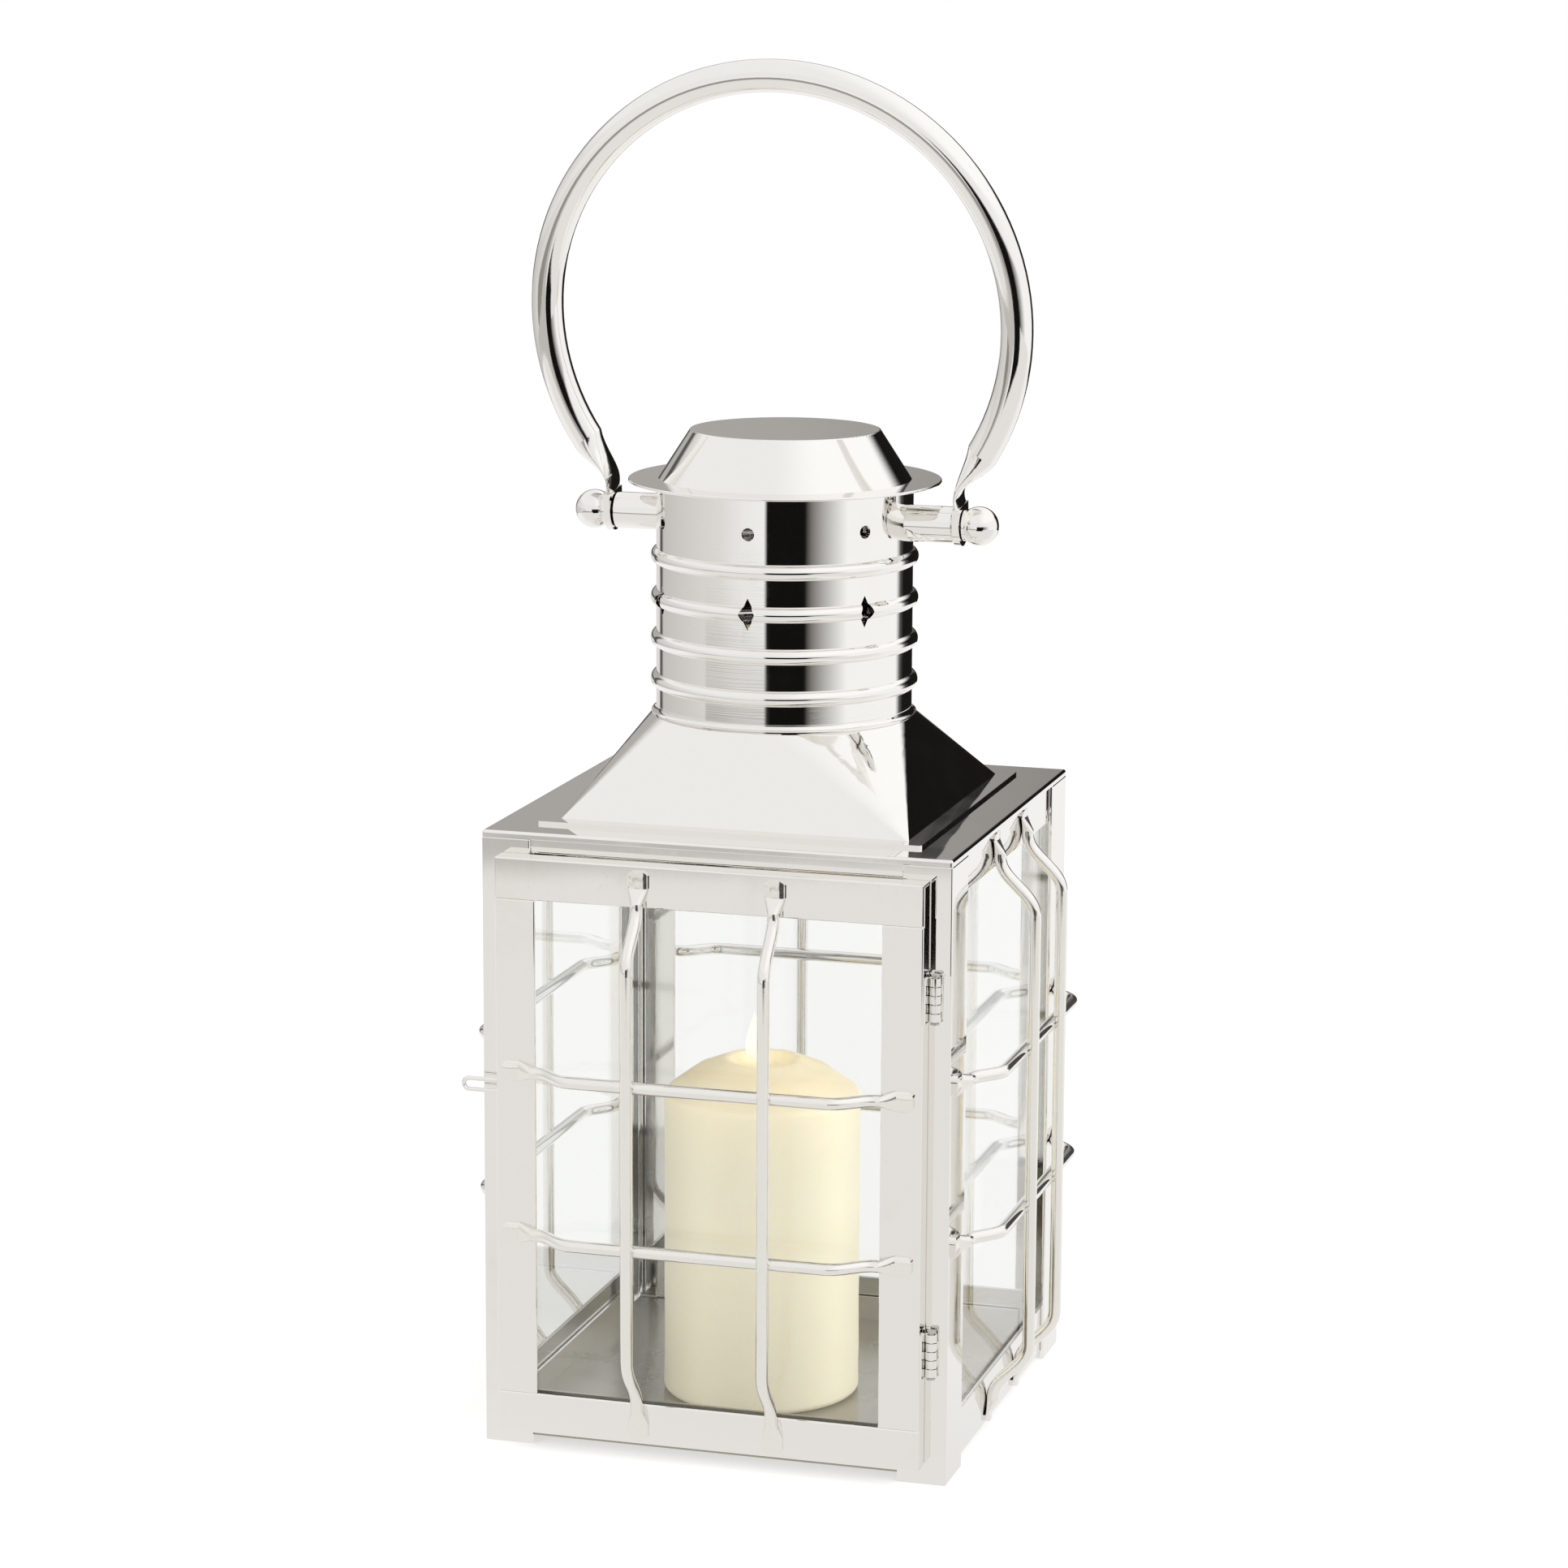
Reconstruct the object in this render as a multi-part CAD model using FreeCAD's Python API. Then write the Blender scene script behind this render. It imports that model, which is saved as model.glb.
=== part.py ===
"""Candle lantern: a square nickel-plated lantern with a round chimney, a hinged front door,
guard bars over glass panes, a swinging bail handle and a pillar candle.

Millimetres, +Z up, origin at the centre of the base on the surface that the feet stand on.
The door is at the front, which faces -Y.
"""
import FreeCAD
import Part
import math
import os

# Box
BODY_WIDTH = 185.0
BODY_HEIGHT = 243.0
FOOT_HEIGHT = 3.4
FRONT_LEG = 19.3
SIDE_LEG = 24.0
POST_SHEET = 1.5
RAIL_SHEET = 1.5
RAIL_LAP = 8.0
TOP_RAIL_HEIGHT = 15.0
BOTTOM_RAIL_HEIGHT = 18.6
BASE_SHEET = 1.2
DECK_THICKNESS = 2.5
DECK_EDGE_RADIUS = 1.0
FLUE_RADIUS = 46.0

# Glass panes of the left, right and back faces
GLASS_THICKNESS = 2.0
PANE_END_CLEARANCE = 0.5
PANE_TOP_CLEARANCE = 3.0
RETAINER_SHEET = 1.0
RETAINER_INSET = 12.0
BOTTOM_RETAINER_HEIGHT = 9.5
TOP_RETAINER_HEIGHT = 12.5

# Guard bars
BAR_RADIUS = 2.4
BAR_SPACING = 45.2
BAR_STANDOFF = 15.0
BAR_NOTCH = 1.8
UPRIGHT_BEND = 25.0
CROSSBAR_BEND = 20.0
PADDLE_LENGTH = 6.5
SHORT_PADDLE_LENGTH = 3.0
PADDLE_WIDTH = 8.0
PADDLE_CORNER = 2.4
PADDLE_THICKNESS = 1.8
PADDLE_TAPER = 5.5
UPRIGHT_END_MARGIN = 0.4
CROSSBAR_END_MARGIN = 5.5
CROSSBAR_LOW = 92.0
CROSSBAR_PITCH = 63.0

# Door
DOOR_SIDE_INSET = 8.5
DOOR_TOP_DROP = 8.0
DOOR_BOTTOM_RISE = 8.0
DOOR_PROUD = 9.5
DOOR_REAR_GAP = 0.8
DOOR_STRIP = 16.0
DOOR_SHEET = 1.2
DOOR_GLASS_MARGIN = 1.0
DOOR_CLIP_LENGTH = 12.0
DOOR_CLIP_REACH = 6.0
DOOR_CLIP_SHEET = 0.8
DOOR_BAR_SPACING = 53.6
DOOR_BAR_END_MARGIN = 3.0
DOOR_UPRIGHT_MARGIN = 1.8
DOOR_CROSSBAR_LOW = 80.3
DOOR_CROSSBAR_PITCH = 64.0

# Door hinges
HINGE_HEIGHT = 17.0
HINGE_SPACING = 138.0
KNUCKLE_COUNT = 5
KNUCKLE_RADIUS = 2.3
KNUCKLE_GAP = 0.3
KNUCKLE_SIDE_GAP = 0.6
KNUCKLE_REAR_GAP = 0.4
LEAF_SHEET = 0.8
BODY_LEAF_WIDTH = 2.6
DOOR_LEAF_MARGIN = 0.9
PIN_RADIUS = 1.0
PIN_HEAD_RADIUS = 1.7
PIN_HEAD_HEIGHT = 0.8
RUNNING_CLEARANCE = 0.05

# Door pull and magnetic catch
PULL_HEIGHT = 136.4
PULL_REACH = 15.5
PULL_WIDTH = 4.3
PULL_WIRE_RADIUS = 0.9
MAGNET_RADIUS = 3.0
MAGNET_MARGIN = 1.8
STRIKE_SHEET = 1.2
STRIKE_HEIGHT = 12.0
STRIKE_SETBACK = 1.7
STRIKE_GAP = 0.4

# Roof, chimney neck and cap
ROOF_WIDTH = 138.0
ROOF_RISE = 35.5
ROOF_FLANGE_MARGIN = 7.0
ROOF_SHEET = 1.2
ROOF_CORNER_RADIUS = 1.5
ROOF_APEX_HALF_ANGLE = 2.0
NECK_RADIUS = 50.0
NECK_SHEET = 1.2
NECK_SKIRT = 4.0
NECK_HEIGHT = 90.4
NECK_FLARE = 1.8
NECK_FLARE_HEIGHT = 3.0
NECK_FLARE_LIP = 0.5
BEAD_COUNT = 4
BEAD_FIRST = 13.0
BEAD_DROP = 14.4
BEAD_HEIGHT = 2.2
BEAD_HALF_WIDTH = 3.0
VENT_ANGLE = 54.0
VENT_RADIUS = 2.5
DIAMOND_WIDTH = 6.4
DIAMOND_HEIGHT = 12.4
DIAMOND_BEAD_COUNT = 3
BRIM_OVERHANG = 10.9
BRIM_LEDGE = 3.2
BRIM_SHEET = 1.1
CROWN_HEIGHT = 19.1
CROWN_FOOT_RADIUS = 49.2
CROWN_TOP_RADIUS = 36.9
CROWN_SHEET = 1.0
CROWN_EDGE_RADIUS = 0.8

# Bail handle and its pivots
PIVOT_DROP = 14.4
PIVOT_POST_RADIUS = 7.1
PIVOT_POST_LENGTH = 18.6
PIVOT_POST_CHAMFER = 0.6
STUD_RADIUS = 2.5
STUD_HEAD_RADIUS = 4.5
STUD_HEAD_THICKNESS = 1.5
STUD_GRIP = 7.5
BALL_RADIUS = 7.6
BALL_FLAT_OFFSET = 5.8
BALL_COLLAR_RADIUS = 6.0
BALL_COLLAR_LENGTH = 2.0
BAIL_SIDE_GAP = 0.4
BAIL_RADIUS = 93.8
BAIL_TUBE_RADIUS = 6.25
BAIL_TUBE_WALL = 1.2
BAIL_ARM_LENGTH = 17.5
BAIL_BEND_RISE = 13.8
BAIL_TAB_WIDTH = 16.0
BAIL_TAB_THICKNESS = 2.6
BAIL_LEAN = 6.8

# Candle
CANDLE_X = -4.9
CANDLE_Y = -10.0
CANDLE_RADIUS = 39.2
CANDLE_HEIGHT = 135.9
CANDLE_DOME_RISE = 11.8
CANDLE_DOME_BULGE = 2.0
CANDLE_SHOULDER = 4.0
CANDLE_FOOT_RADIUS = 3.0
CANDLE_RIM_RADIUS = 15.5
CANDLE_RIM_WIDTH = 2.0
CANDLE_POOL_RADIUS = 9.0
CANDLE_POOL_DEPTH = 5.0
WICK_RADIUS = 0.9
WICK_RISE = 8.0
WICK_DEPTH = 12.0
WICK_CLEARANCE = 0.05

# Levels and offsets that several pieces share
BODY_HALF = BODY_WIDTH / 2
RAIL_FACE = BODY_HALF - POST_SHEET
GLASS_FACE = RAIL_FACE - RAIL_SHEET
RETAINER_FACE = GLASS_FACE - GLASS_THICKNESS
FLOOR_Z = FOOT_HEIGHT + BASE_SHEET
DECK_UNDERSIDE = BODY_HEIGHT - DECK_THICKNESS
ROOF_TOP = BODY_HEIGHT + ROOF_RISE
BRIM_UNDERSIDE = ROOF_TOP + NECK_HEIGHT
CROWN_FOOT = BRIM_UNDERSIDE + BRIM_SHEET
NECK_BORE = NECK_RADIUS - NECK_SHEET
PIVOT_Z = BRIM_UNDERSIDE - PIVOT_DROP
BEAD_PITCH = (NECK_HEIGHT - PIVOT_DROP - BEAD_DROP - BEAD_FIRST) / (BEAD_COUNT - 1)
POST_END_X = NECK_RADIUS + PIVOT_POST_LENGTH
TAB_INNER_X = POST_END_X + BAIL_SIDE_GAP
TAB_MID_X = TAB_INNER_X + BAIL_TAB_THICKNESS / 2
NUT_FACE_X = TAB_INNER_X + BAIL_TAB_THICKNESS + BAIL_SIDE_GAP
STUD_BORE = STUD_RADIUS + RUNNING_CLEARANCE
DOOR_HALF = BODY_HALF - DOOR_SIDE_INSET
DOOR_LOW = DOOR_BOTTOM_RISE
DOOR_HIGH = BODY_HEIGHT - DOOR_TOP_DROP
DOOR_MID_Z = (DOOR_LOW + DOOR_HIGH) / 2
DOOR_FRONT = -BODY_HALF - DOOR_PROUD
DOOR_REAR = -BODY_HALF - DOOR_REAR_GAP
DOOR_GLASS_FRONT = DOOR_FRONT + DOOR_SHEET
DOOR_GLASS_REAR = DOOR_GLASS_FRONT + GLASS_THICKNESS
HINGE_X = DOOR_HALF + KNUCKLE_SIDE_GAP + KNUCKLE_RADIUS
HINGE_Y = -BODY_HALF - KNUCKLE_REAR_GAP - KNUCKLE_RADIUS
PULL_Z = DOOR_LOW + PULL_HEIGHT
STRIKE_FRONT = DOOR_GLASS_REAR + STRIKE_SETBACK
STRIKE_REAR = STRIKE_FRONT + STRIKE_SHEET
MAGNET_X = -DOOR_HALF + DOOR_SHEET + MAGNET_MARGIN + MAGNET_RADIUS

# Quarter turns that carry a face modelled at the front to the other three faces
FACE_TURNS = {"right": 90.0, "back": 180.0, "left": -90.0}
FACE_LEGS = {"right": SIDE_LEG, "back": FRONT_LEG, "left": SIDE_LEG, "front": FRONT_LEG}

V = FreeCAD.Vector
ORIGIN = V(0, 0, 0)
X_AXIS = V(1, 0, 0)
Y_AXIS = V(0, 1, 0)
Z_AXIS = V(0, 0, 1)


def block(x_range, y_range, z_range):
    """Box between the given limits on each axis."""
    low = V(min(x_range), min(y_range), min(z_range))
    high = V(max(x_range), max(y_range), max(z_range))
    size = high - low
    return Part.makeBox(size.x, size.y, size.z, low)


def rod(radius, start, end):
    """Solid cylinder from one point to another."""
    line = end - start
    return Part.makeCylinder(radius, line.Length, start, line)


def fuse(shapes):
    """One solid from shapes that overlap or touch."""
    return shapes[0].multiFuse(shapes[1:]).removeSplitter()


def turned(shape, angle):
    """Copy of a shape turned about the lantern's upright axis."""
    copy = shape.copy()
    copy.rotate(ORIGIN, Z_AXIS, angle)
    return copy


def mirrored(shape, normal):
    """Mirror image of a shape through the plane at the origin square to normal."""
    return shape.mirror(ORIGIN, normal)


def ellipse_wire(centre, major_dir, normal, major, minor):
    """Closed ellipse, or a circle where both radii agree, square to normal."""
    if major > minor:
        curve = Part.Ellipse(ORIGIN, major, minor)
    else:
        curve = Part.Circle(ORIGIN, Z_AXIS, major)
    edge = curve.toShape()
    turn = FreeCAD.Rotation(major_dir, normal.cross(major_dir), normal, "ZXY")
    edge.Placement = FreeCAD.Placement(centre, turn)
    return Part.Wire([edge])


def revolved(edges):
    """Solid of revolution about the Z axis of a closed outline in the XZ plane."""
    face = Part.Face(Part.Wire(edges))
    return face.revolve(ORIGIN, Z_AXIS, 360)


def polyline(points):
    """Straight edges through points given as (radius, height)."""
    corners = [V(r, 0, z) for r, z in points]
    return [Part.LineSegment(a, b).toShape() for a, b in zip(corners, corners[1:])]


def arc(start, middle, end):
    """Arc edge through three points given as (radius, height)."""
    points = [V(r, 0, z) for r, z in (start, middle, end)]
    return Part.Arc(*points).toShape()


# Posts, rails, base and deck

def corner_post(x_side, y_side):
    """Angle post that reaches from the floor to the deck's underside."""
    x_outer = x_side * BODY_HALF
    y_outer = y_side * BODY_HALF
    height = (0, DECK_UNDERSIDE)
    legs = []
    for x_size, y_size in ((FRONT_LEG, POST_SHEET), (POST_SHEET, SIDE_LEG)):
        x_range = (x_outer, x_outer - x_side * x_size)
        y_range = (y_outer, y_outer - y_side * y_size)
        legs.append(block(x_range, y_range, height))
    return fuse(legs)


def rail(face, z_range):
    """Flat rail that laps behind the two posts of a face, modelled at the front."""
    half = BODY_HALF - FACE_LEGS[face] + RAIL_LAP
    return block((-half, half), (-RAIL_FACE, -GLASS_FACE), z_range)


def roof_deck():
    """Flat top of the box with a round hole for the hot air."""
    plate = block((-BODY_HALF, BODY_HALF), (-BODY_HALF, BODY_HALF), (DECK_UNDERSIDE, BODY_HEIGHT))
    above = DECK_UNDERSIDE + DECK_THICKNESS / 4
    outer_edges = [edge for edge in plate.Edges if edge.CenterOfMass.z > above]
    plate = plate.makeFillet(DECK_EDGE_RADIUS, outer_edges)
    flue = rod(FLUE_RADIUS, V(0, 0, DECK_UNDERSIDE - DECK_THICKNESS), V(0, 0, BODY_HEIGHT + DECK_THICKNESS))
    return plate.cut(flue)


def base_plate():
    """Floor plate that fills the space between the bottom rails."""
    return block((-GLASS_FACE, GLASS_FACE), (-GLASS_FACE, GLASS_FACE), (FOOT_HEIGHT, FLOOR_Z))


# Glass of the fixed faces

def pane():
    """Glass pane of a fixed face, modelled at the front."""
    half = RETAINER_FACE - PANE_END_CLEARANCE
    height = (FLOOR_Z, DECK_UNDERSIDE - PANE_TOP_CLEARANCE)
    return block((-half, half), (-GLASS_FACE, -RETAINER_FACE), height)


def glass_retainers():
    """Strips behind the panes: one stands on the base and one hangs from the deck on each face."""
    half = RETAINER_FACE - RETAINER_INSET
    depth = (-RETAINER_FACE, -RETAINER_FACE + RETAINER_SHEET)
    lower = block((-half, half), depth, (FLOOR_Z, FLOOR_Z + BOTTOM_RETAINER_HEIGHT))
    upper = block((-half, half), depth, (DECK_UNDERSIDE - TOP_RETAINER_HEIGHT, DECK_UNDERSIDE))
    strips = []
    for turn in FACE_TURNS.values():
        strips.append(turned(lower, turn))
        strips.append(turned(upper, turn))
    return Part.makeCompound(strips)


# Guard bars

def bar_path(foot_x, run_x, standoff):
    """Centre line of a bowed bar along X: feet near the face, a run at the standoff and smooth S-bends."""
    levels = [-BAR_RADIUS] * 3 + [-standoff] * 3
    reach = (foot_x - run_x) / (len(levels) - 1)
    poles = [V(foot_x - index * reach, y, 0) for index, y in enumerate(levels)]
    curve = Part.BezierCurve()
    curve.setPoles(poles)
    right = curve.toShape()
    run = Part.LineSegment(V(run_x, -standoff, 0), V(-run_x, -standoff, 0)).toShape()
    return Part.Wire(Part.__sortEdges__([right, run, mirrored(right, X_AXIS)]))


def crowned_section(x):
    """Section of a flattened bar end at x: flat behind and crowned in front."""
    half_width = PADDLE_WIDTH / 2
    half_thick = PADDLE_THICKNESS / 2
    crest = V(x, -PADDLE_THICKNESS, 0)
    left = V(x, -half_thick, -half_width)
    right = V(x, -half_thick, half_width)
    crown = Part.ArcOfEllipse(Part.Ellipse(right, crest, V(x, -half_thick, 0)), 0, math.pi)
    corners = [left, V(x, 0, -half_width), V(x, 0, half_width), right]
    sides = [Part.LineSegment(a, b).toShape() for a, b in zip(corners, corners[1:])]
    return Part.Face(Part.Wire(Part.__sortEdges__([crown.toShape()] + sides)))


def paddle_outline(start_x, end_x):
    """Upright plate with two rounded corners that trims the end of a flattened bar."""
    half_width = PADDLE_WIDTH / 2
    corner_x = end_x - PADDLE_CORNER
    corner_z = half_width - PADDLE_CORNER
    depth = (-2 * PADDLE_THICKNESS, PADDLE_THICKNESS)
    plates = [block((start_x, corner_x), depth, (-PADDLE_WIDTH, PADDLE_WIDTH)),
              block((start_x, end_x), depth, (-corner_z, corner_z))]
    for z in (-corner_z, corner_z):
        plates.append(rod(PADDLE_CORNER, V(corner_x, depth[0], z), V(corner_x, depth[1], z)))
    return fuse(plates)


def paddle(foot_x, end_x):
    """Flattened bar end at +X: a taper from the round bar and a crowned tongue with rounded corners."""
    taper_x = foot_x + PADDLE_TAPER
    half_thick = PADDLE_THICKNESS / 2
    round_end = ellipse_wire(V(foot_x, -BAR_RADIUS, 0), Z_AXIS, X_AXIS, BAR_RADIUS, BAR_RADIUS)
    flat_end = ellipse_wire(V(taper_x, -half_thick, 0), Z_AXIS, X_AXIS, PADDLE_WIDTH / 2, half_thick)
    taper = Part.makeLoft([round_end, flat_end], True, True)
    tongue = crowned_section(taper_x).extrude(X_AXIS * (end_x - taper_x))
    return fuse([taper, tongue.common(paddle_outline(taper_x - half_thick, end_x))])


def guard_bar(length, standoff, bend, paddle_length):
    """Bowed bar along X that lies on the plane y = 0 and bows towards -Y."""
    end_x = length / 2
    foot_x = end_x - paddle_length - PADDLE_TAPER
    path = bar_path(foot_x, foot_x - bend, standoff)
    section = ellipse_wire(V(foot_x, -BAR_RADIUS, 0), Z_AXIS, X_AXIS, BAR_RADIUS, BAR_RADIUS)
    bow = path.makePipeShell([section], True, False)
    right = paddle(foot_x, end_x)
    return fuse([bow, right, mirrored(right, X_AXIS)])


def guard_set(faces, spacing, upright_span, paddle_length, crossbar_length, crossbar_levels):
    """Two uprights and two crossbars of one face, modelled at the front.

    The crossbars pass behind the uprights and are notched to seat against them.
    """
    upright_face, crossbar_face = faces
    low, high = upright_span
    front = crossbar_face + BAR_STANDOFF
    upright = guard_bar(high - low, front - upright_face, UPRIGHT_BEND, paddle_length)
    upright.rotate(ORIGIN, Y_AXIS, 90)
    seat = BAR_STANDOFF - 2 * BAR_RADIUS + BAR_NOTCH
    crossbar = guard_bar(crossbar_length, seat, CROSSBAR_BEND, PADDLE_LENGTH)
    uprights = []
    for x in (-spacing / 2, spacing / 2):
        uprights.append(upright.translated(V(x, -upright_face, (low + high) / 2)))
    crossbars = []
    for z in crossbar_levels:
        bar = crossbar.translated(V(0, -crossbar_face, z))
        crossbars.append(bar.cut(uprights))
    return uprights, crossbars


def face_guards():
    """Uprights and crossbars of a fixed face, modelled at the front."""
    span = (FOOT_HEIGHT + UPRIGHT_END_MARGIN, DECK_UNDERSIDE - UPRIGHT_END_MARGIN)
    length = 2 * (BODY_HALF - CROSSBAR_END_MARGIN)
    levels = (CROSSBAR_LOW, CROSSBAR_LOW + CROSSBAR_PITCH)
    faces = (RAIL_FACE, BODY_HALF)
    return guard_set(faces, BAR_SPACING, span, SHORT_PADDLE_LENGTH, length, levels)


def door_guards():
    """Uprights and crossbars of the door."""
    span = (DOOR_LOW + DOOR_UPRIGHT_MARGIN, DOOR_HIGH - DOOR_UPRIGHT_MARGIN)
    length = 2 * (DOOR_HALF - DOOR_BAR_END_MARGIN)
    low_level = DOOR_LOW + DOOR_CROSSBAR_LOW
    levels = (low_level, low_level + DOOR_CROSSBAR_PITCH)
    faces = (-DOOR_FRONT, -DOOR_FRONT)
    return guard_set(faces, DOOR_BAR_SPACING, span, PADDLE_LENGTH, length, levels)


# Door

def door_rail(edge_z, inward):
    """Top or bottom door rail: a face strip and a flange that turns back to the box."""
    width = (-DOOR_HALF, DOOR_HALF)
    face = block(width, (DOOR_FRONT, DOOR_GLASS_FRONT), (edge_z, edge_z + inward * DOOR_STRIP))
    flange = block(width, (DOOR_FRONT, DOOR_REAR), (edge_z, edge_z + inward * DOOR_SHEET))
    return fuse([face, flange])


def door_stile(side):
    """Door stile whose face strip butts between the rails, with a flange along its outer edge."""
    edge = side * DOOR_HALF
    face_z = (DOOR_LOW + DOOR_STRIP, DOOR_HIGH - DOOR_STRIP)
    flange_z = (DOOR_LOW + DOOR_SHEET, DOOR_HIGH - DOOR_SHEET)
    face = block((edge, edge - side * DOOR_STRIP), (DOOR_FRONT, DOOR_GLASS_FRONT), face_z)
    flange = block((edge, edge - side * DOOR_SHEET), (DOOR_GLASS_FRONT, DOOR_REAR), flange_z)
    return fuse([face, flange])


def door_glass():
    """Glass pane behind the door's strips."""
    half = DOOR_HALF - DOOR_SHEET - DOOR_GLASS_MARGIN
    height = (DOOR_LOW + DOOR_SHEET + DOOR_GLASS_MARGIN, DOOR_HIGH - DOOR_SHEET - DOOR_GLASS_MARGIN)
    return block((-half, half), (DOOR_GLASS_FRONT, DOOR_GLASS_REAR), height)


def door_glass_clips():
    """Tabs on the flanges of the door that hold the glass from behind."""
    depth = (DOOR_GLASS_REAR, DOOR_GLASS_REAR + DOOR_CLIP_SHEET)
    inner_x = DOOR_HALF - DOOR_SHEET
    half = DOOR_CLIP_LENGTH / 2
    clips = []
    for side in (-1, 1):
        for z in (DOOR_MID_Z - HINGE_SPACING / 2, DOOR_MID_Z + HINGE_SPACING / 2):
            x_range = (side * inner_x, side * (inner_x - DOOR_CLIP_REACH))
            clips.append(block(x_range, depth, (z - half, z + half)))
        x = side * DOOR_BAR_SPACING
        top = DOOR_HIGH - DOOR_SHEET
        low = DOOR_LOW + DOOR_SHEET
        clips.append(block((x - half, x + half), depth, (top - DOOR_CLIP_REACH, top)))
        clips.append(block((x - half, x + half), depth, (low, low + DOOR_CLIP_REACH)))
    return Part.makeCompound(clips)


def door_pull():
    """Wire loop that stands out from the door's free edge."""
    half = PULL_WIDTH / 2
    root_x = -DOOR_HALF
    bend_x = root_x - PULL_REACH + PULL_WIRE_RADIUS + half
    y = (DOOR_FRONT + DOOR_REAR) / 2
    top_root = V(root_x, y, PULL_Z + half)
    top_bend = V(bend_x, y, PULL_Z + half)
    tip = V(bend_x - half, y, PULL_Z)
    low_bend = V(bend_x, y, PULL_Z - half)
    low_root = V(root_x, y, PULL_Z - half)
    top = Part.LineSegment(top_root, top_bend).toShape()
    turn = Part.Arc(top_bend, tip, low_bend).toShape()
    low = Part.LineSegment(low_bend, low_root).toShape()
    section = ellipse_wire(top_root, Y_AXIS, X_AXIS, PULL_WIRE_RADIUS, PULL_WIRE_RADIUS)
    return Part.Wire([top, turn, low]).makePipeShell([section], True, False)


def catch_magnet():
    """Round magnet on the front of the left post, a small gap behind the strike."""
    tip_y = STRIKE_REAR + STRIKE_GAP
    return rod(MAGNET_RADIUS, V(MAGNET_X, -BODY_HALF, PULL_Z), V(MAGNET_X, tip_y, PULL_Z))


def catch_strike():
    """Steel plate on the inside of the door's left flange that meets the magnet."""
    x_range = (-DOOR_HALF + DOOR_SHEET, MAGNET_X + MAGNET_RADIUS)
    z_range = (PULL_Z - STRIKE_HEIGHT / 2, PULL_Z + STRIKE_HEIGHT / 2)
    return block(x_range, (STRIKE_FRONT, STRIKE_REAR), z_range)


# Hinges

def knuckles(z_mid, first):
    """Every second knuckle of one hinge, as (low, high) limits along the pin."""
    pitch = HINGE_HEIGHT / KNUCKLE_COUNT
    bottom = z_mid - HINGE_HEIGHT / 2
    spans = []
    for index in range(first, KNUCKLE_COUNT, 2):
        low = bottom + index * pitch + KNUCKLE_GAP / 2
        spans.append((low, low + pitch - KNUCKLE_GAP))
    return spans


def hinge_half(z_mid, first, leaf, web_x, web_y):
    """Leaf with its knuckles, bored for the pin."""
    pieces = [leaf]
    for low, high in knuckles(z_mid, first):
        pieces.append(rod(KNUCKLE_RADIUS, V(HINGE_X, HINGE_Y, low), V(HINGE_X, HINGE_Y, high)))
        pieces.append(block(web_x, web_y, (low, high)))
    bore_ends = (V(HINGE_X, HINGE_Y, z_mid - HINGE_HEIGHT), V(HINGE_X, HINGE_Y, z_mid + HINGE_HEIGHT))
    bore = rod(PIN_RADIUS + RUNNING_CLEARANCE, *bore_ends)
    return fuse(pieces).cut(bore)


def hinge_body_leaf(z_mid):
    """Leaf on the front of the right post."""
    span = (z_mid - HINGE_HEIGHT / 2, z_mid + HINGE_HEIGHT / 2)
    inner_x = HINGE_X + KNUCKLE_RADIUS + KNUCKLE_REAR_GAP
    depth = (-BODY_HALF - LEAF_SHEET, -BODY_HALF)
    leaf = block((inner_x, inner_x + BODY_LEAF_WIDTH), depth, span)
    return hinge_half(z_mid, 1, leaf, (HINGE_X, inner_x), depth)


def hinge_door_leaf(z_mid):
    """Leaf on the outside of the door's right flange."""
    span = (z_mid - HINGE_HEIGHT / 2, z_mid + HINGE_HEIGHT / 2)
    rear_y = HINGE_Y - KNUCKLE_RADIUS - KNUCKLE_REAR_GAP
    width = (DOOR_HALF, DOOR_HALF + LEAF_SHEET)
    leaf = block(width, (DOOR_FRONT + DOOR_LEAF_MARGIN, rear_y), span)
    return hinge_half(z_mid, 0, leaf, width, (rear_y, HINGE_Y))


def hinge_pin(z_mid):
    """Pin with a small head at each end."""
    shank = HINGE_HEIGHT / 2 + KNUCKLE_GAP
    end = shank + PIN_HEAD_HEIGHT
    pin = rod(PIN_RADIUS, V(HINGE_X, HINGE_Y, z_mid - end), V(HINGE_X, HINGE_Y, z_mid + end))
    top = rod(PIN_HEAD_RADIUS, V(HINGE_X, HINGE_Y, z_mid + shank), V(HINGE_X, HINGE_Y, z_mid + end))
    low = rod(PIN_HEAD_RADIUS, V(HINGE_X, HINGE_Y, z_mid - end), V(HINGE_X, HINGE_Y, z_mid - shank))
    return fuse([pin, top, low])


def at_both_hinges(make):
    """The same hinge piece at the lower and the upper hinge."""
    return Part.makeCompound([make(DOOR_MID_Z - HINGE_SPACING / 2), make(DOOR_MID_Z + HINGE_SPACING / 2)])


# Roof, chimney neck and cap

def on_circle(radius, degrees, z):
    """Point on a circle about the lantern's axis."""
    angle = math.radians(degrees)
    return V(radius * math.cos(angle), radius * math.sin(angle), z)


def square_wire(half, z):
    """Square with small round corners: four sides and four corner arcs, from the front side on."""
    edges = []
    inset = half - ROOF_CORNER_RADIUS
    reach = inset + ROOF_CORNER_RADIUS * math.sqrt(0.5)
    side = Part.LineSegment(V(-inset, -half, z), V(inset, -half, z)).toShape()
    corner = Part.Arc(V(inset, -half, z), V(reach, -reach, z), V(half, -inset, z)).toShape()
    for quarter in range(4):
        edges.append(turned(side, 90 * quarter))
        edges.append(turned(corner, 90 * quarter))
    return Part.Wire(edges)


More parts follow.
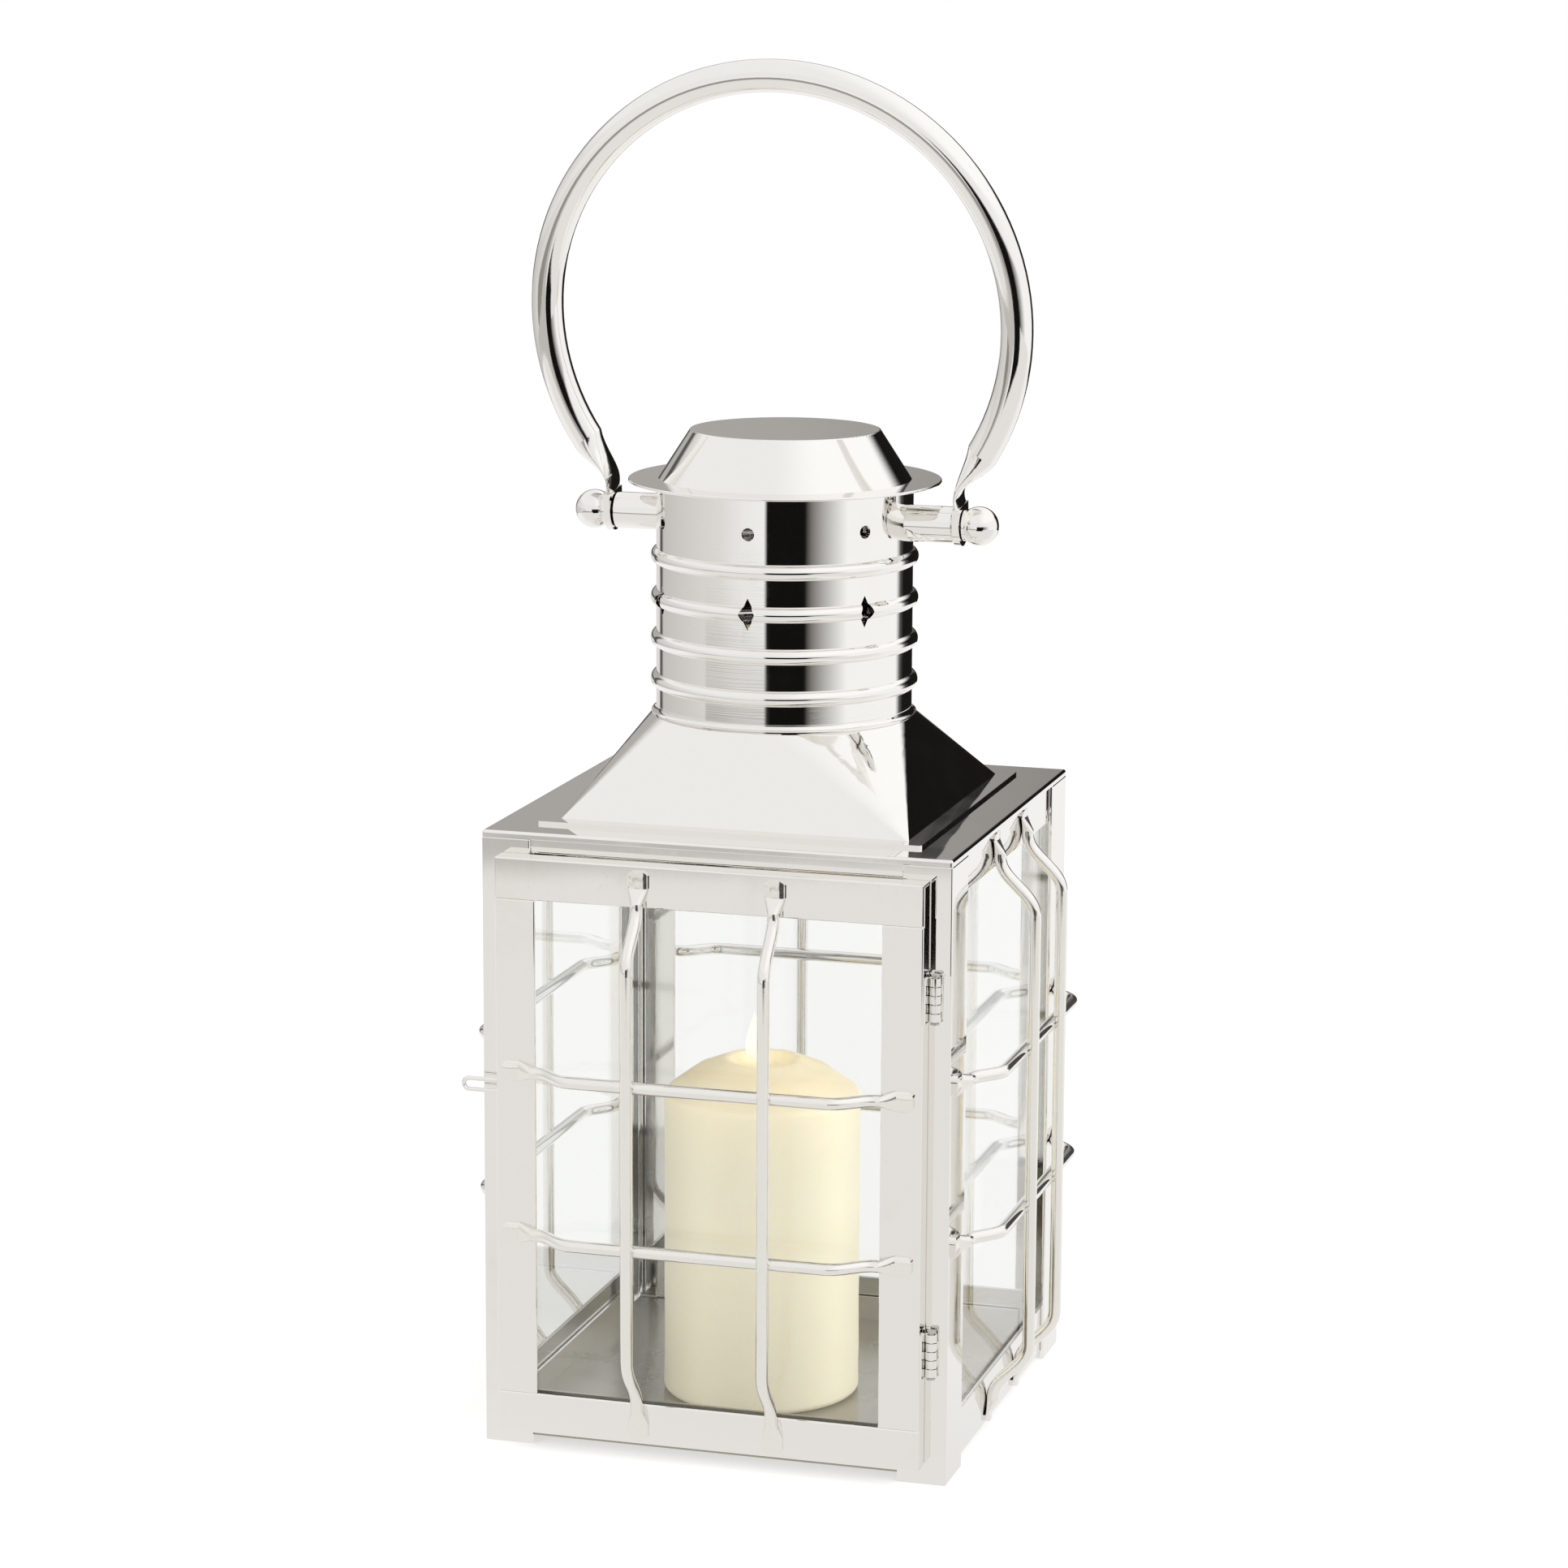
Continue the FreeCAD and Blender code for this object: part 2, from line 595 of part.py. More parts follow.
def round_wire(radius, z):
    """Circle in eight arcs that match the sides and corners of the square below it."""
    edges = []
    for quarter in range(4):
        middle = 90 * quarter - 90
        for start, end in ((middle - ROOF_APEX_HALF_ANGLE, middle + ROOF_APEX_HALF_ANGLE),
                           (middle + ROOF_APEX_HALF_ANGLE, middle + 90 - ROOF_APEX_HALF_ANGLE)):
            points = [on_circle(radius, angle, z) for angle in (start, (start + end) / 2, end)]
            edges.append(Part.Arc(*points).toShape())
    return Part.Wire(edges)


def roof_hood():
    """Sheet roof from a square flange on the deck to the round neck."""
    half = ROOF_WIDTH / 2
    base_z = BODY_HEIGHT + ROOF_SHEET
    outer_radius = NECK_RADIUS + ROOF_SHEET
    outer = Part.makeLoft([square_wire(half, base_z), round_wire(outer_radius, ROOF_TOP)], True, True)
    inner_half = half - ROOF_SHEET
    inner = Part.makeLoft([square_wire(inner_half, base_z), round_wire(NECK_RADIUS, ROOF_TOP)], True, True)
    flange_half = half + ROOF_FLANGE_MARGIN
    flange = Part.Face(square_wire(flange_half, BODY_HEIGHT)).extrude(V(0, 0, ROOF_SHEET))
    opening = Part.Face(square_wire(inner_half, BODY_HEIGHT)).extrude(V(0, 0, ROOF_SHEET))
    return fuse([outer.cut(inner), flange.cut(opening)])


def bead_levels():
    """Heights of the neck's rolled beads, from the bottom up."""
    return [ROOF_TOP + BEAD_FIRST + BEAD_PITCH * index for index in range(BEAD_COUNT)]


def beaded_side(radius):
    """One side of the neck's sheet from bottom to top, with a bulge at each bead."""
    edges = []
    below = (radius, ROOF_TOP - NECK_SKIRT)
    for z in bead_levels():
        start = (radius, z - BEAD_HALF_WIDTH)
        end = (radius, z + BEAD_HALF_WIDTH)
        edges += polyline([below, start])
        edges.append(arc(start, (radius + BEAD_HEIGHT, z), end))
        below = end
    edges += polyline([below, (radius, BRIM_UNDERSIDE)])
    return edges


def vent_angles():
    """Angles of the vents, three at the front and three at the back."""
    return [middle + offset for middle in (-90, 90) for offset in (-VENT_ANGLE, 0, VENT_ANGLE)]


def vent_cutters():
    """Round and diamond cutters that pass through the neck's wall from outside."""
    near = NECK_BORE / 2
    far = NECK_RADIUS + BRIM_OVERHANG
    half_width = DIAMOND_WIDTH / 2
    half_height = DIAMOND_HEIGHT / 2
    z = bead_levels()[DIAMOND_BEAD_COUNT - 1]
    corners = [V(near, -half_width, z), V(near, 0, z + half_height),
               V(near, half_width, z), V(near, 0, z - half_height)]
    diamond = Part.Face(Part.makePolygon(corners + corners[:1])).extrude(V(far - near, 0, 0))
    hole = rod(VENT_RADIUS, V(near, 0, PIVOT_Z), V(far, 0, PIVOT_Z))
    cutters = []
    for angle in vent_angles():
        cutters.append(turned(diamond, angle))
        cutters.append(turned(hole, angle))
    return cutters


def neck_flare():
    """Hollow-rounded ring that seats the neck on the roof."""
    rim = NECK_RADIUS + NECK_FLARE
    lip_z = ROOF_TOP + NECK_FLARE_LIP
    end_z = ROOF_TOP + NECK_FLARE_HEIGHT
    hollow = 1 - math.sqrt(0.5)
    middle = (NECK_RADIUS + NECK_FLARE * hollow, lip_z + (end_z - lip_z) * hollow)
    outline = polyline([(NECK_RADIUS, end_z), (NECK_RADIUS, ROOF_TOP), (rim, ROOF_TOP), (rim, lip_z)])
    outline.append(arc((rim, lip_z), middle, (NECK_RADIUS, end_z)))
    return revolved(outline)


def chimney_neck():
    """Beaded sheet neck with a flared foot and vents, and bores for the pivot studs."""
    low = ROOF_TOP - NECK_SKIRT
    foot = polyline([(NECK_BORE, low), (NECK_RADIUS, low)])
    head = polyline([(NECK_RADIUS, BRIM_UNDERSIDE), (NECK_BORE, BRIM_UNDERSIDE)])
    outline = foot + beaded_side(NECK_RADIUS) + head + beaded_side(NECK_BORE)
    neck = fuse([revolved(Part.__sortEdges__(outline)), neck_flare()])
    stud_bore = rod(STUD_BORE, on_pivot(-POST_END_X), on_pivot(POST_END_X))
    return neck.cut(vent_cutters() + [stud_bore])


def cap_brim():
    """Flat ring on top of the neck with a rounded rim."""
    radius = NECK_RADIUS + BRIM_OVERHANG
    bore = min(NECK_RADIUS, CROWN_FOOT_RADIUS) - BRIM_LEDGE
    half = BRIM_SHEET / 2
    low = BRIM_UNDERSIDE
    high = CROWN_FOOT
    outline = polyline([(radius - half, high), (bore, high), (bore, low), (radius - half, low)])
    outline.append(arc((radius - half, low), (radius, low + half), (radius - half, high)))
    return revolved(outline)


def cap_crown():
    """Hollow truncated cone that closes the chimney."""
    top = CROWN_FOOT + CROWN_HEIGHT
    taper = (CROWN_FOOT_RADIUS - CROWN_TOP_RADIUS) / CROWN_HEIGHT
    wall = CROWN_SHEET * math.hypot(1, taper)
    inner_foot = CROWN_FOOT_RADIUS - wall
    inner_top = CROWN_TOP_RADIUS + taper * CROWN_SHEET - wall
    inner_top_z = top - CROWN_SHEET
    inside = [(0, inner_top_z), (inner_top, inner_top_z), (inner_foot, CROWN_FOOT)]
    outside = [(CROWN_FOOT_RADIUS, CROWN_FOOT), (CROWN_TOP_RADIUS, top), (0, top)]
    crown = revolved(polyline(inside + outside + inside[:1]))
    top_edges = [edge for edge in crown.Edges if edge.BoundBox.ZMin > inner_top_z]
    rim = [edge for edge in top_edges if edge.BoundBox.XMax > inner_top]
    return crown.makeFillet(CROWN_EDGE_RADIUS, rim)


# Bail handle and its pivots, the right-hand side first

def on_pivot(x):
    """Point on the axis that the bail turns about."""
    return V(x, 0, PIVOT_Z)


def pivot_post():
    """Round post that stands out from the neck and carries the bail."""
    post = rod(PIVOT_POST_RADIUS, on_pivot(0), on_pivot(POST_END_X))
    end_edges = [edge for edge in post.Edges if edge.BoundBox.XMin > POST_END_X - PIVOT_POST_CHAMFER]
    post = post.makeChamfer(PIVOT_POST_CHAMFER, end_edges)
    neck_core = rod(NECK_RADIUS, V(0, 0, PIVOT_Z - NECK_RADIUS), V(0, 0, PIVOT_Z + NECK_RADIUS))
    bore = rod(STUD_BORE, on_pivot(0), on_pivot(POST_END_X))
    return post.cut([neck_core, bore])


def pivot_stud():
    """Stud from inside the neck, through the post and the bail's tab, into the ball nut."""
    head_x = math.sqrt(NECK_BORE ** 2 - STUD_HEAD_RADIUS ** 2)
    inner_x = head_x - STUD_HEAD_THICKNESS
    shank = rod(STUD_RADIUS, on_pivot(inner_x), on_pivot(NUT_FACE_X + STUD_GRIP))
    head = rod(STUD_HEAD_RADIUS, on_pivot(inner_x), on_pivot(head_x))
    return fuse([shank, head])


def ball_nut():
    """Ball-shaped nut with a flat collar against the bail's tab."""
    ball = Part.makeSphere(BALL_RADIUS, on_pivot(NUT_FACE_X + BALL_FLAT_OFFSET))
    behind = block((NUT_FACE_X - BALL_RADIUS, NUT_FACE_X), (-BALL_RADIUS, BALL_RADIUS),
                   (PIVOT_Z - BALL_RADIUS, PIVOT_Z + BALL_RADIUS))
    collar = rod(BALL_COLLAR_RADIUS, on_pivot(NUT_FACE_X), on_pivot(NUT_FACE_X + BALL_COLLAR_LENGTH))
    bore = rod(STUD_BORE, on_pivot(NUT_FACE_X - BALL_RADIUS), on_pivot(NUT_FACE_X + STUD_GRIP))
    return fuse([ball.cut(behind), collar]).cut(bore)


def bail_drop():
    """Angle below level at which the ring ends, so that straight arms lead from it to the tabs."""
    reach = math.hypot(BAIL_RADIUS, BAIL_ARM_LENGTH)
    return math.acos(TAB_MID_X / reach) - math.atan2(BAIL_ARM_LENGTH, BAIL_RADIUS)


def bail_arm(arc_end, tangent):
    """Right-hand arm: the tube flattens as it comes down, and bends upright into the pivot tab."""
    half_width = BAIL_TAB_WIDTH / 2
    half_thick = BAIL_TAB_THICKNESS / 2
    bend = on_pivot(TAB_MID_X) + Z_AXIS * BAIL_BEND_RISE
    eye_top = on_pivot(TAB_MID_X) + Z_AXIS * half_width
    down = V(0, 0, -1)
    middle = (arc_end + bend) * 0.5
    lean_in = (tangent + down).normalize()
    mid_width = (BAIL_TUBE_RADIUS + half_width) / 2
    mid_thick = (BAIL_TUBE_RADIUS + half_thick) / 2
    sections = [ellipse_wire(arc_end, Y_AXIS, tangent, BAIL_TUBE_RADIUS, BAIL_TUBE_RADIUS),
                ellipse_wire(middle, Y_AXIS, tangent, mid_width, mid_thick),
                ellipse_wire(bend, Y_AXIS, lean_in, half_width, half_thick),
                ellipse_wire(eye_top, Y_AXIS, down, half_width, half_thick)]
    shank = Part.makeLoft(sections, True, False)
    inner_x = TAB_MID_X - half_thick
    outer_x = TAB_MID_X + half_thick
    tab = block((inner_x, outer_x), (-half_width, half_width), (PIVOT_Z, PIVOT_Z + half_width))
    eye = rod(half_width, on_pivot(inner_x), on_pivot(outer_x))
    bore = rod(STUD_BORE, on_pivot(POST_END_X), on_pivot(NUT_FACE_X))
    return fuse([shank, tab, eye]).cut(bore)


def bail_handle():
    """Hollow tube ring with a flattened tab at each end, leaning forward about its pivots."""
    drop = bail_drop()
    ring_height = BAIL_BEND_RISE + BAIL_ARM_LENGTH * math.cos(drop) + BAIL_RADIUS * math.sin(drop)
    centre = V(0, 0, PIVOT_Z + ring_height)
    tangent = V(-math.sin(drop), 0, -math.cos(drop))
    arc_end = centre + V(BAIL_RADIUS * math.cos(drop), 0, -BAIL_RADIUS * math.sin(drop))
    outer = ellipse_wire(arc_end, Y_AXIS, tangent, BAIL_TUBE_RADIUS, BAIL_TUBE_RADIUS)
    bore_radius = BAIL_TUBE_RADIUS - BAIL_TUBE_WALL
    bore = ellipse_wire(arc_end, Y_AXIS, tangent, bore_radius, bore_radius)
    sweep = 180 + 2 * math.degrees(drop)
    tube = Part.Face(outer).revolve(centre, V(0, -1, 0), sweep)
    hollow = Part.Face(bore).revolve(centre, V(0, -1, 0), sweep)
    arm = bail_arm(arc_end, tangent)
    bail = fuse([tube.cut(hollow), arm, mirrored(arm, X_AXIS)])
    bail.rotate(on_pivot(0), X_AXIS, BAIL_LEAN)
    return bail


# Candle

def candle_dome():
    """Slope of the burnt-down top, from the pillar's side up to the rim of the pool."""
    foot = (CANDLE_RADIUS, CANDLE_HEIGHT - CANDLE_DOME_RISE)
    rim = (CANDLE_RIM_RADIUS, CANDLE_HEIGHT)
    run = foot[0] - rim[0]
    slant = math.hypot(run, CANDLE_DOME_RISE)
    middle_r = (foot[0] + rim[0]) / 2 + CANDLE_DOME_BULGE * CANDLE_DOME_RISE / slant
    middle_z = (foot[1] + rim[1]) / 2 + CANDLE_DOME_BULGE * run / slant
    return arc(foot, (middle_r, middle_z), rim)


def outer_ring(shape, z):
    """Edges that run round the pillar's side at one height."""
    rings = [edge for edge in shape.Edges if edge.BoundBox.ZLength < RUNNING_CLEARANCE]
    level = [edge for edge in rings if abs(edge.CenterOfMass.z - z) < RUNNING_CLEARANCE]
    return [edge for edge in level if edge.BoundBox.XMax > CANDLE_RADIUS - RUNNING_CLEARANCE]


def candle_wax():
    """Pillar of wax that has burnt down to a sloping top with a melted pool round the wick."""
    top = CANDLE_HEIGHT
    side_top = top - CANDLE_DOME_RISE
    pool_z = top - CANDLE_POOL_DEPTH
    rim_inner = CANDLE_RIM_RADIUS - CANDLE_RIM_WIDTH
    outline = polyline([(0, pool_z), (0, 0), (CANDLE_RADIUS, 0), (CANDLE_RADIUS, side_top)])
    outline.append(candle_dome())
    crater = [(CANDLE_RIM_RADIUS, top), (rim_inner, top), (CANDLE_POOL_RADIUS, pool_z), (0, pool_z)]
    outline += polyline(crater)
    wax = revolved(outline)
    wax = wax.makeFillet(CANDLE_FOOT_RADIUS, outer_ring(wax, 0))
    wax = wax.makeFillet(CANDLE_SHOULDER, outer_ring(wax, side_top))
    wick_hole = rod(WICK_RADIUS + WICK_CLEARANCE, V(0, 0, pool_z - WICK_DEPTH), V(0, 0, top))
    return wax.cut(wick_hole).translated(V(CANDLE_X, CANDLE_Y, FLOOR_Z))


def candle_wick():
    """Wick that stands in the wax."""
    pool_z = FLOOR_Z + CANDLE_HEIGHT - CANDLE_POOL_DEPTH
    foot = V(CANDLE_X, CANDLE_Y, pool_z - WICK_DEPTH)
    return rod(WICK_RADIUS, foot, foot + Z_AXIS * (WICK_DEPTH + WICK_RISE))


def box_parts():
    """Posts, rails, base and deck."""
    top_span = (DECK_UNDERSIDE - TOP_RAIL_HEIGHT, DECK_UNDERSIDE)
    bottom_span = (FOOT_HEIGHT, FOOT_HEIGHT + BOTTOM_RAIL_HEIGHT)
    parts = {"base_plate": base_plate(), "roof_deck": roof_deck()}
    for x_name, x_side in (("left", -1), ("right", 1)):
        for y_name, y_side in (("front", -1), ("back", 1)):
            parts[y_name + "_" + x_name + "_post"] = corner_post(x_side, y_side)
    parts["front_header"] = rail("front", top_span)
    parts["front_sill"] = rail("front", bottom_span)
    for face, turn in FACE_TURNS.items():
        parts[face + "_top_rail"] = turned(rail(face, top_span), turn)
        parts[face + "_bottom_rail"] = turned(rail(face, bottom_span), turn)
    return parts


def window_parts():
    """Panes, retainers and guard bars of the three fixed faces."""
    parts = {"glass_retainers": glass_retainers()}
    uprights, crossbars = face_guards()
    for face, turn in FACE_TURNS.items():
        parts[face + "_glass"] = turned(pane(), turn)
        for number, bar in enumerate(uprights, 1):
            parts["%s_guard_upright_%d" % (face, number)] = turned(bar, turn)
        for number, bar in enumerate(crossbars, 1):
            parts["%s_guard_crossbar_%d" % (face, number)] = turned(bar, turn)
    return parts


def door_parts():
    """Door frame, its glass, guard bars, hinges, pull and catch."""
    parts = {
        "door_top_rail": door_rail(DOOR_HIGH, -1),
        "door_bottom_rail": door_rail(DOOR_LOW, 1),
        "door_left_stile": door_stile(-1),
        "door_right_stile": door_stile(1),
        "door_glass": door_glass(),
        "door_glass_clips": door_glass_clips(),
        "door_pull": door_pull(),
        "catch_magnet": catch_magnet(),
        "catch_strike": catch_strike(),
        "hinge_body_leaves": at_both_hinges(hinge_body_leaf),
        "hinge_door_leaves": at_both_hinges(hinge_door_leaf),
        "hinge_pins": at_both_hinges(hinge_pin),
    }
    uprights, crossbars = door_guards()
    for number, bar in enumerate(uprights, 1):
        parts["door_guard_upright_%d" % number] = bar
    for number, bar in enumerate(crossbars, 1):
        parts["door_guard_crossbar_%d" % number] = bar
    return parts


def top_parts():
    """Roof, chimney, cap and bail with its pivots."""
    post = pivot_post()
    stud = pivot_stud()
    nut = ball_nut()
    return {
        "roof_hood": roof_hood(),
        "chimney_neck": chimney_neck(),
        "cap_brim": cap_brim(),
        "cap_crown": cap_crown(),
        "right_pivot_post": post,
        "left_pivot_post": mirrored(post, X_AXIS),
        "pivot_studs": Part.makeCompound([stud, mirrored(stud, X_AXIS)]),
        "right_ball_nut": nut,
        "left_ball_nut": mirrored(nut, X_AXIS),
        "bail_handle": bail_handle(),
    }


def candle_parts():
    """The candle and its wick."""
    return {"candle_wax": candle_wax(), "candle_wick": candle_wick()}


def main():
    """Write each piece to its own file."""
    os.makedirs("parts", exist_ok=True)
    for make in (box_parts, window_parts, door_parts, top_parts, candle_parts):
        for name, shape in make().items():
            shape.exportStep("parts/" + name + ".step")


main()
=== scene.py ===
"""Looks of the candle lantern: plated metal, glass, wax, wick and flame, with a plain studio round it.

Metres, +Z up, origin at the centre of the base on the surface that the feet stand on.
The door is at the front, which faces -Y.
"""
import math

import bmesh
import bpy
from mathutils import Matrix, Vector, noise


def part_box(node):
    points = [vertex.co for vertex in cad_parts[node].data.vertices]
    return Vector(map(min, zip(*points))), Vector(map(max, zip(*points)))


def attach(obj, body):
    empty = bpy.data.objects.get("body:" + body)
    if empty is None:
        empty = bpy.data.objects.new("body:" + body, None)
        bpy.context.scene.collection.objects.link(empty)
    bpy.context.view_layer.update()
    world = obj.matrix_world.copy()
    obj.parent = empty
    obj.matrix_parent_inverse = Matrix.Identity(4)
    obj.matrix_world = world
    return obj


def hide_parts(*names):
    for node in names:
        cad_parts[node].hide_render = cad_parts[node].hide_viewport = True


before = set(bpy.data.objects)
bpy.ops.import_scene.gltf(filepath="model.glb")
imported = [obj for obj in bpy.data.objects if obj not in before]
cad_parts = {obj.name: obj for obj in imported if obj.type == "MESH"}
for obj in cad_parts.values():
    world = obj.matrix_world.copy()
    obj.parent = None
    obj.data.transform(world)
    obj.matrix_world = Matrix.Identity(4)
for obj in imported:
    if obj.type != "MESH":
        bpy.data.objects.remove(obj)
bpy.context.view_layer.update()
WAX_LOW, WAX_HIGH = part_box("candle_wax")
WICK_LOW, WICK_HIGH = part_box("candle_wick")

bl_info = {
    "name": "Candle Lantern",
    "version": (1, 0, 0),
    "blender": (4, 5, 0),
    "location": "View3D > Sidebar > Lantern",
    "description": "Finishes the candle lantern in nickel, glass and wax and sets it in a plain studio",
    "category": "Object",
}

FACES = ("right", "back", "left")
BARS = ["%s_guard_%s_%d" % (face, kind, number)
        for face in FACES + ("door",) for kind in ("upright", "crossbar") for number in (1, 2)]
POSTS = ["%s_%s_post" % (depth, side) for depth in ("front", "back") for side in ("left", "right")]
RAILS = ["front_header"] + ["%s_%s_rail" % (face, end) for face in FACES for end in ("top", "bottom")]
DOOR_FRAME = ["door_top_rail", "door_bottom_rail", "door_left_stile", "door_right_stile"]
ROOF = ["roof_deck", "roof_hood"]
HIDDEN_SHEET = ["base_plate", "front_sill"]
STRIPS = ["glass_retainers", "door_glass_clips"]
CHIMNEY = ["chimney_neck", "cap_brim", "cap_crown"]
PIVOTS = ["right_pivot_post", "left_pivot_post", "right_ball_nut", "left_ball_nut"]
HANDLES = ["bail_handle", "door_pull"]
HINGE_LEAVES = ["hinge_body_leaves", "hinge_door_leaves"]
STEEL_PARTS = ["hinge_pins", "pivot_studs", "catch_magnet", "catch_strike"]
PANES = [face + "_glass" for face in FACES] + ["door_glass"]
FOLDED_SHEET = POSTS + DOOR_FRAME + RAILS

DEGREES = 180.0 / math.pi


def length(label, note, default):
    """A size that a user may change."""
    return bpy.props.FloatProperty(name=label, description=note, default=default, min=0.0, precision=5,
                                   subtype="DISTANCE", unit="LENGTH")


def share(label, note, default):
    """A number between nothing and all."""
    return bpy.props.FloatProperty(name=label, description=note, default=default, min=0.0, max=1.0,
                                   subtype="FACTOR")


def level(label, note, default):
    """A strength of light."""
    return bpy.props.FloatProperty(name=label, description=note, default=default, min=0.0)


def power(label, note, default):
    """A lamp's power in watts."""
    return bpy.props.FloatProperty(name=label, description=note, default=default, min=0.0, unit="POWER")


def turn(label, note, degrees):
    """An angle."""
    return bpy.props.FloatProperty(name=label, description=note, default=math.radians(degrees),
                                   subtype="ANGLE", unit="ROTATION")


def colour(label, note, default):
    """A colour."""
    return bpy.props.FloatVectorProperty(name=label, description=note, default=default, size=3,
                                         min=0.0, max=1.0, subtype="COLOR")


class LanternMetal(bpy.types.PropertyGroup):
    """Finish of the plated metal and the plain steel."""
    nickel: colour("Nickel", "Colour of the polished plate", (0.90, 0.885, 0.86))
    tarnish: colour("Tarnish", "Colour of the plate where it has dulled", (0.62, 0.56, 0.47))
    # The inside colour is dark stained plate, darkened further as painted shade of the box's inside.
    inside: colour("Inside", "Colour of the dull plate inside the box", (0.25, 0.232, 0.170))
    steel: colour("Steel", "Colour of the bare steel pins and studs", (0.56, 0.55, 0.54))
    polish: share("Polish", "Roughness of clean plate", 0.025)
    smudge: share("Smudge", "Extra roughness where the plate has been handled", 0.06)
    dent_depth: length("Dent depth", "Depth of the soft waves in the sheet", 0.00011)
    dent_size: length("Dent size", "Width of the soft waves in the sheet", 0.045)
    scratch_depth: length("Scratch depth", "Depth of the fine polishing lines", 0.000004)
    edge_round: length("Edge round", "Width of the worn edges of the folded sheet", 0.00055)


class LanternGlass(bpy.types.PropertyGroup):
    """Finish of the panes."""
    tint: colour("Tint", "Colour of the glass", (0.990, 0.996, 0.992))
    film: share("Film", "Roughness of the faint film on the panes", 0.02)


class LanternCandle(bpy.types.PropertyGroup):
    """Shape and colours of the candle, its wick and its flame."""
    ivory: colour("Wax", "Colour of the cool wax", (0.92, 0.86, 0.67))
    honey: colour("Warm wax", "Colour of the wax on the sloping top", (0.86, 0.76, 0.54))
    glow: colour("Glow", "Light of the flame in the wax", (0.26, 0.215, 0.125))
    depth_light: colour("Depth", "Light that the wax holds all the way down", (0.150, 0.137, 0.100))
    wobble: length("Wobble", "Unevenness of the burnt-down top", 0.0011)
    dome_rise: length("Dome rise", "Height of the sloping top", 0.0118)
    rim_radius: length("Rim radius", "Radius of the rim round the melted pool", 0.0155)
    pool_radius: length("Pool radius", "Radius of the melted pool's floor", 0.009)
    pool_depth: length("Pool depth", "Depth of the melted pool", 0.005)
    char: colour("Char", "Colour of the burnt wick", (0.012, 0.010, 0.009))
    cotton: colour("Cotton", "Colour of the wick below the burn", (0.30, 0.23, 0.15))
    strand: length("Strand", "Radius of one strand of the wick", 0.00052)
    flame_height: length("Flame height", "Height of the flame", 0.0205)
    flame_radius: length("Flame radius", "Widest radius of the flame", 0.0045)
    flame_tip: colour("Flame", "Colour of the flame's body", (1.0, 0.97, 0.86))
    flame_root: colour("Flame root", "Colour of the flame near the wick", (1.0, 0.86, 0.56))


class LanternStudio(bpy.types.PropertyGroup):
    """Camera, light and floor."""
    lens: bpy.props.FloatProperty(name="Lens", description="Focal length in millimetres", default=109.51,
                                  min=1.0, subtype="DISTANCE_CAMERA", unit="CAMERA")
    yaw: turn("Yaw", "Turn of the camera to the right of the front", 16.30)
    pitch: turn("Pitch", "Tilt of the camera down", 11.30)
    roll: turn("Roll", "Lean of the camera", 0.29)
    place: bpy.props.FloatVectorProperty(name="Place", description="Place of the camera", size=3,
                                         default=(0.516, -1.764, 0.616), subtype="TRANSLATION",
                                         unit="LENGTH")
    floor_radius: length("Floor", "Radius of the pale floor", 1.45)
    fill: level("Fill", "Light from all round", 0.90)
    key: power("Key", "Power of the soft lamp at the right", 27.0)
    front: power("Front", "Power of the soft lamp at the front left", 17.0)


class Wire:
    """A shader socket. Arithmetic on it adds Math nodes, and node() adds a node of any other kind."""

    def __init__(self, tree, socket=None):
        self.tree = tree
        self.socket = socket

    def node(self, kind, settings, values, output=0):
        """Adds a node: its settings first, then values or links on its sockets."""
        made = self.tree.nodes.new("ShaderNode" + kind)
        for name, setting in settings.items():
            if name == "stops":
                self.set_stops(made.color_ramp.elements, setting)
            else:
                setattr(made, name, setting)
        for key, value in values.items():
            if isinstance(value, Wire):
                self.tree.links.new(value.socket, made.inputs[key])
            else:
                made.inputs[key].default_value = value
        if made.outputs:
            return Wire(self.tree, made.outputs[output])
        return None

    @staticmethod
    def set_stops(elements, stops):
        """Places and colours of a ramp's stops."""
        while len(elements) < len(stops):
            elements.new(1.0)
        for element, (position, shade) in zip(elements, stops):
            element.position = position
            element.color = (*shade, 1.0)

    def out(self, name):
        """Another output of the same node."""
        return Wire(self.tree, self.socket.node.outputs[name])

    def math(self, operation, first, second=0.0):
        """A Math node on two numbers."""
        return self.node("Math", {"operation": operation}, {0: first, 1: second})

    def __add__(self, other):
        return self.math("ADD", self, other)

    def __sub__(self, other):
        return self.math("SUBTRACT", self, other)

    def __mul__(self, other):
        return self.math("MULTIPLY", self, other)

    def __truediv__(self, other):
        return self.math("DIVIDE", self, other)

    def __radd__(self, other):
        return self.math("ADD", other, self)

    def __rsub__(self, other):
        return self.math("SUBTRACT", other, self)

    def __rmul__(self, other):
        return self.math("MULTIPLY", other, self)

    def __rtruediv__(self, other):
        return self.math("DIVIDE", other, self)


def blank_material(name):
    """An empty material and the start of its shader."""
    material = bpy.data.materials.new(name)
    material.use_nodes = True
    material.node_tree.nodes.clear()
    return material, Wire(material.node_tree)


def opaque(shade):
    """A colour with full alpha."""
    return (*shade, 1.0)


def step(shader, value, low, high):
    """A smooth step of a value from 0 at low to 1 at high."""
    return shader.node("MapRange", {"interpolation_type": "SMOOTHSTEP"},
                       {"Value": value, "From Min": low, "From Max": high})


def blend(shader, mask, first, second):
    """A colour between two, by a mask."""
    colours = {0: mask, 6: first, 7: second}
    return shader.node("Mix", {"data_type": "RGBA"}, colours, 2)


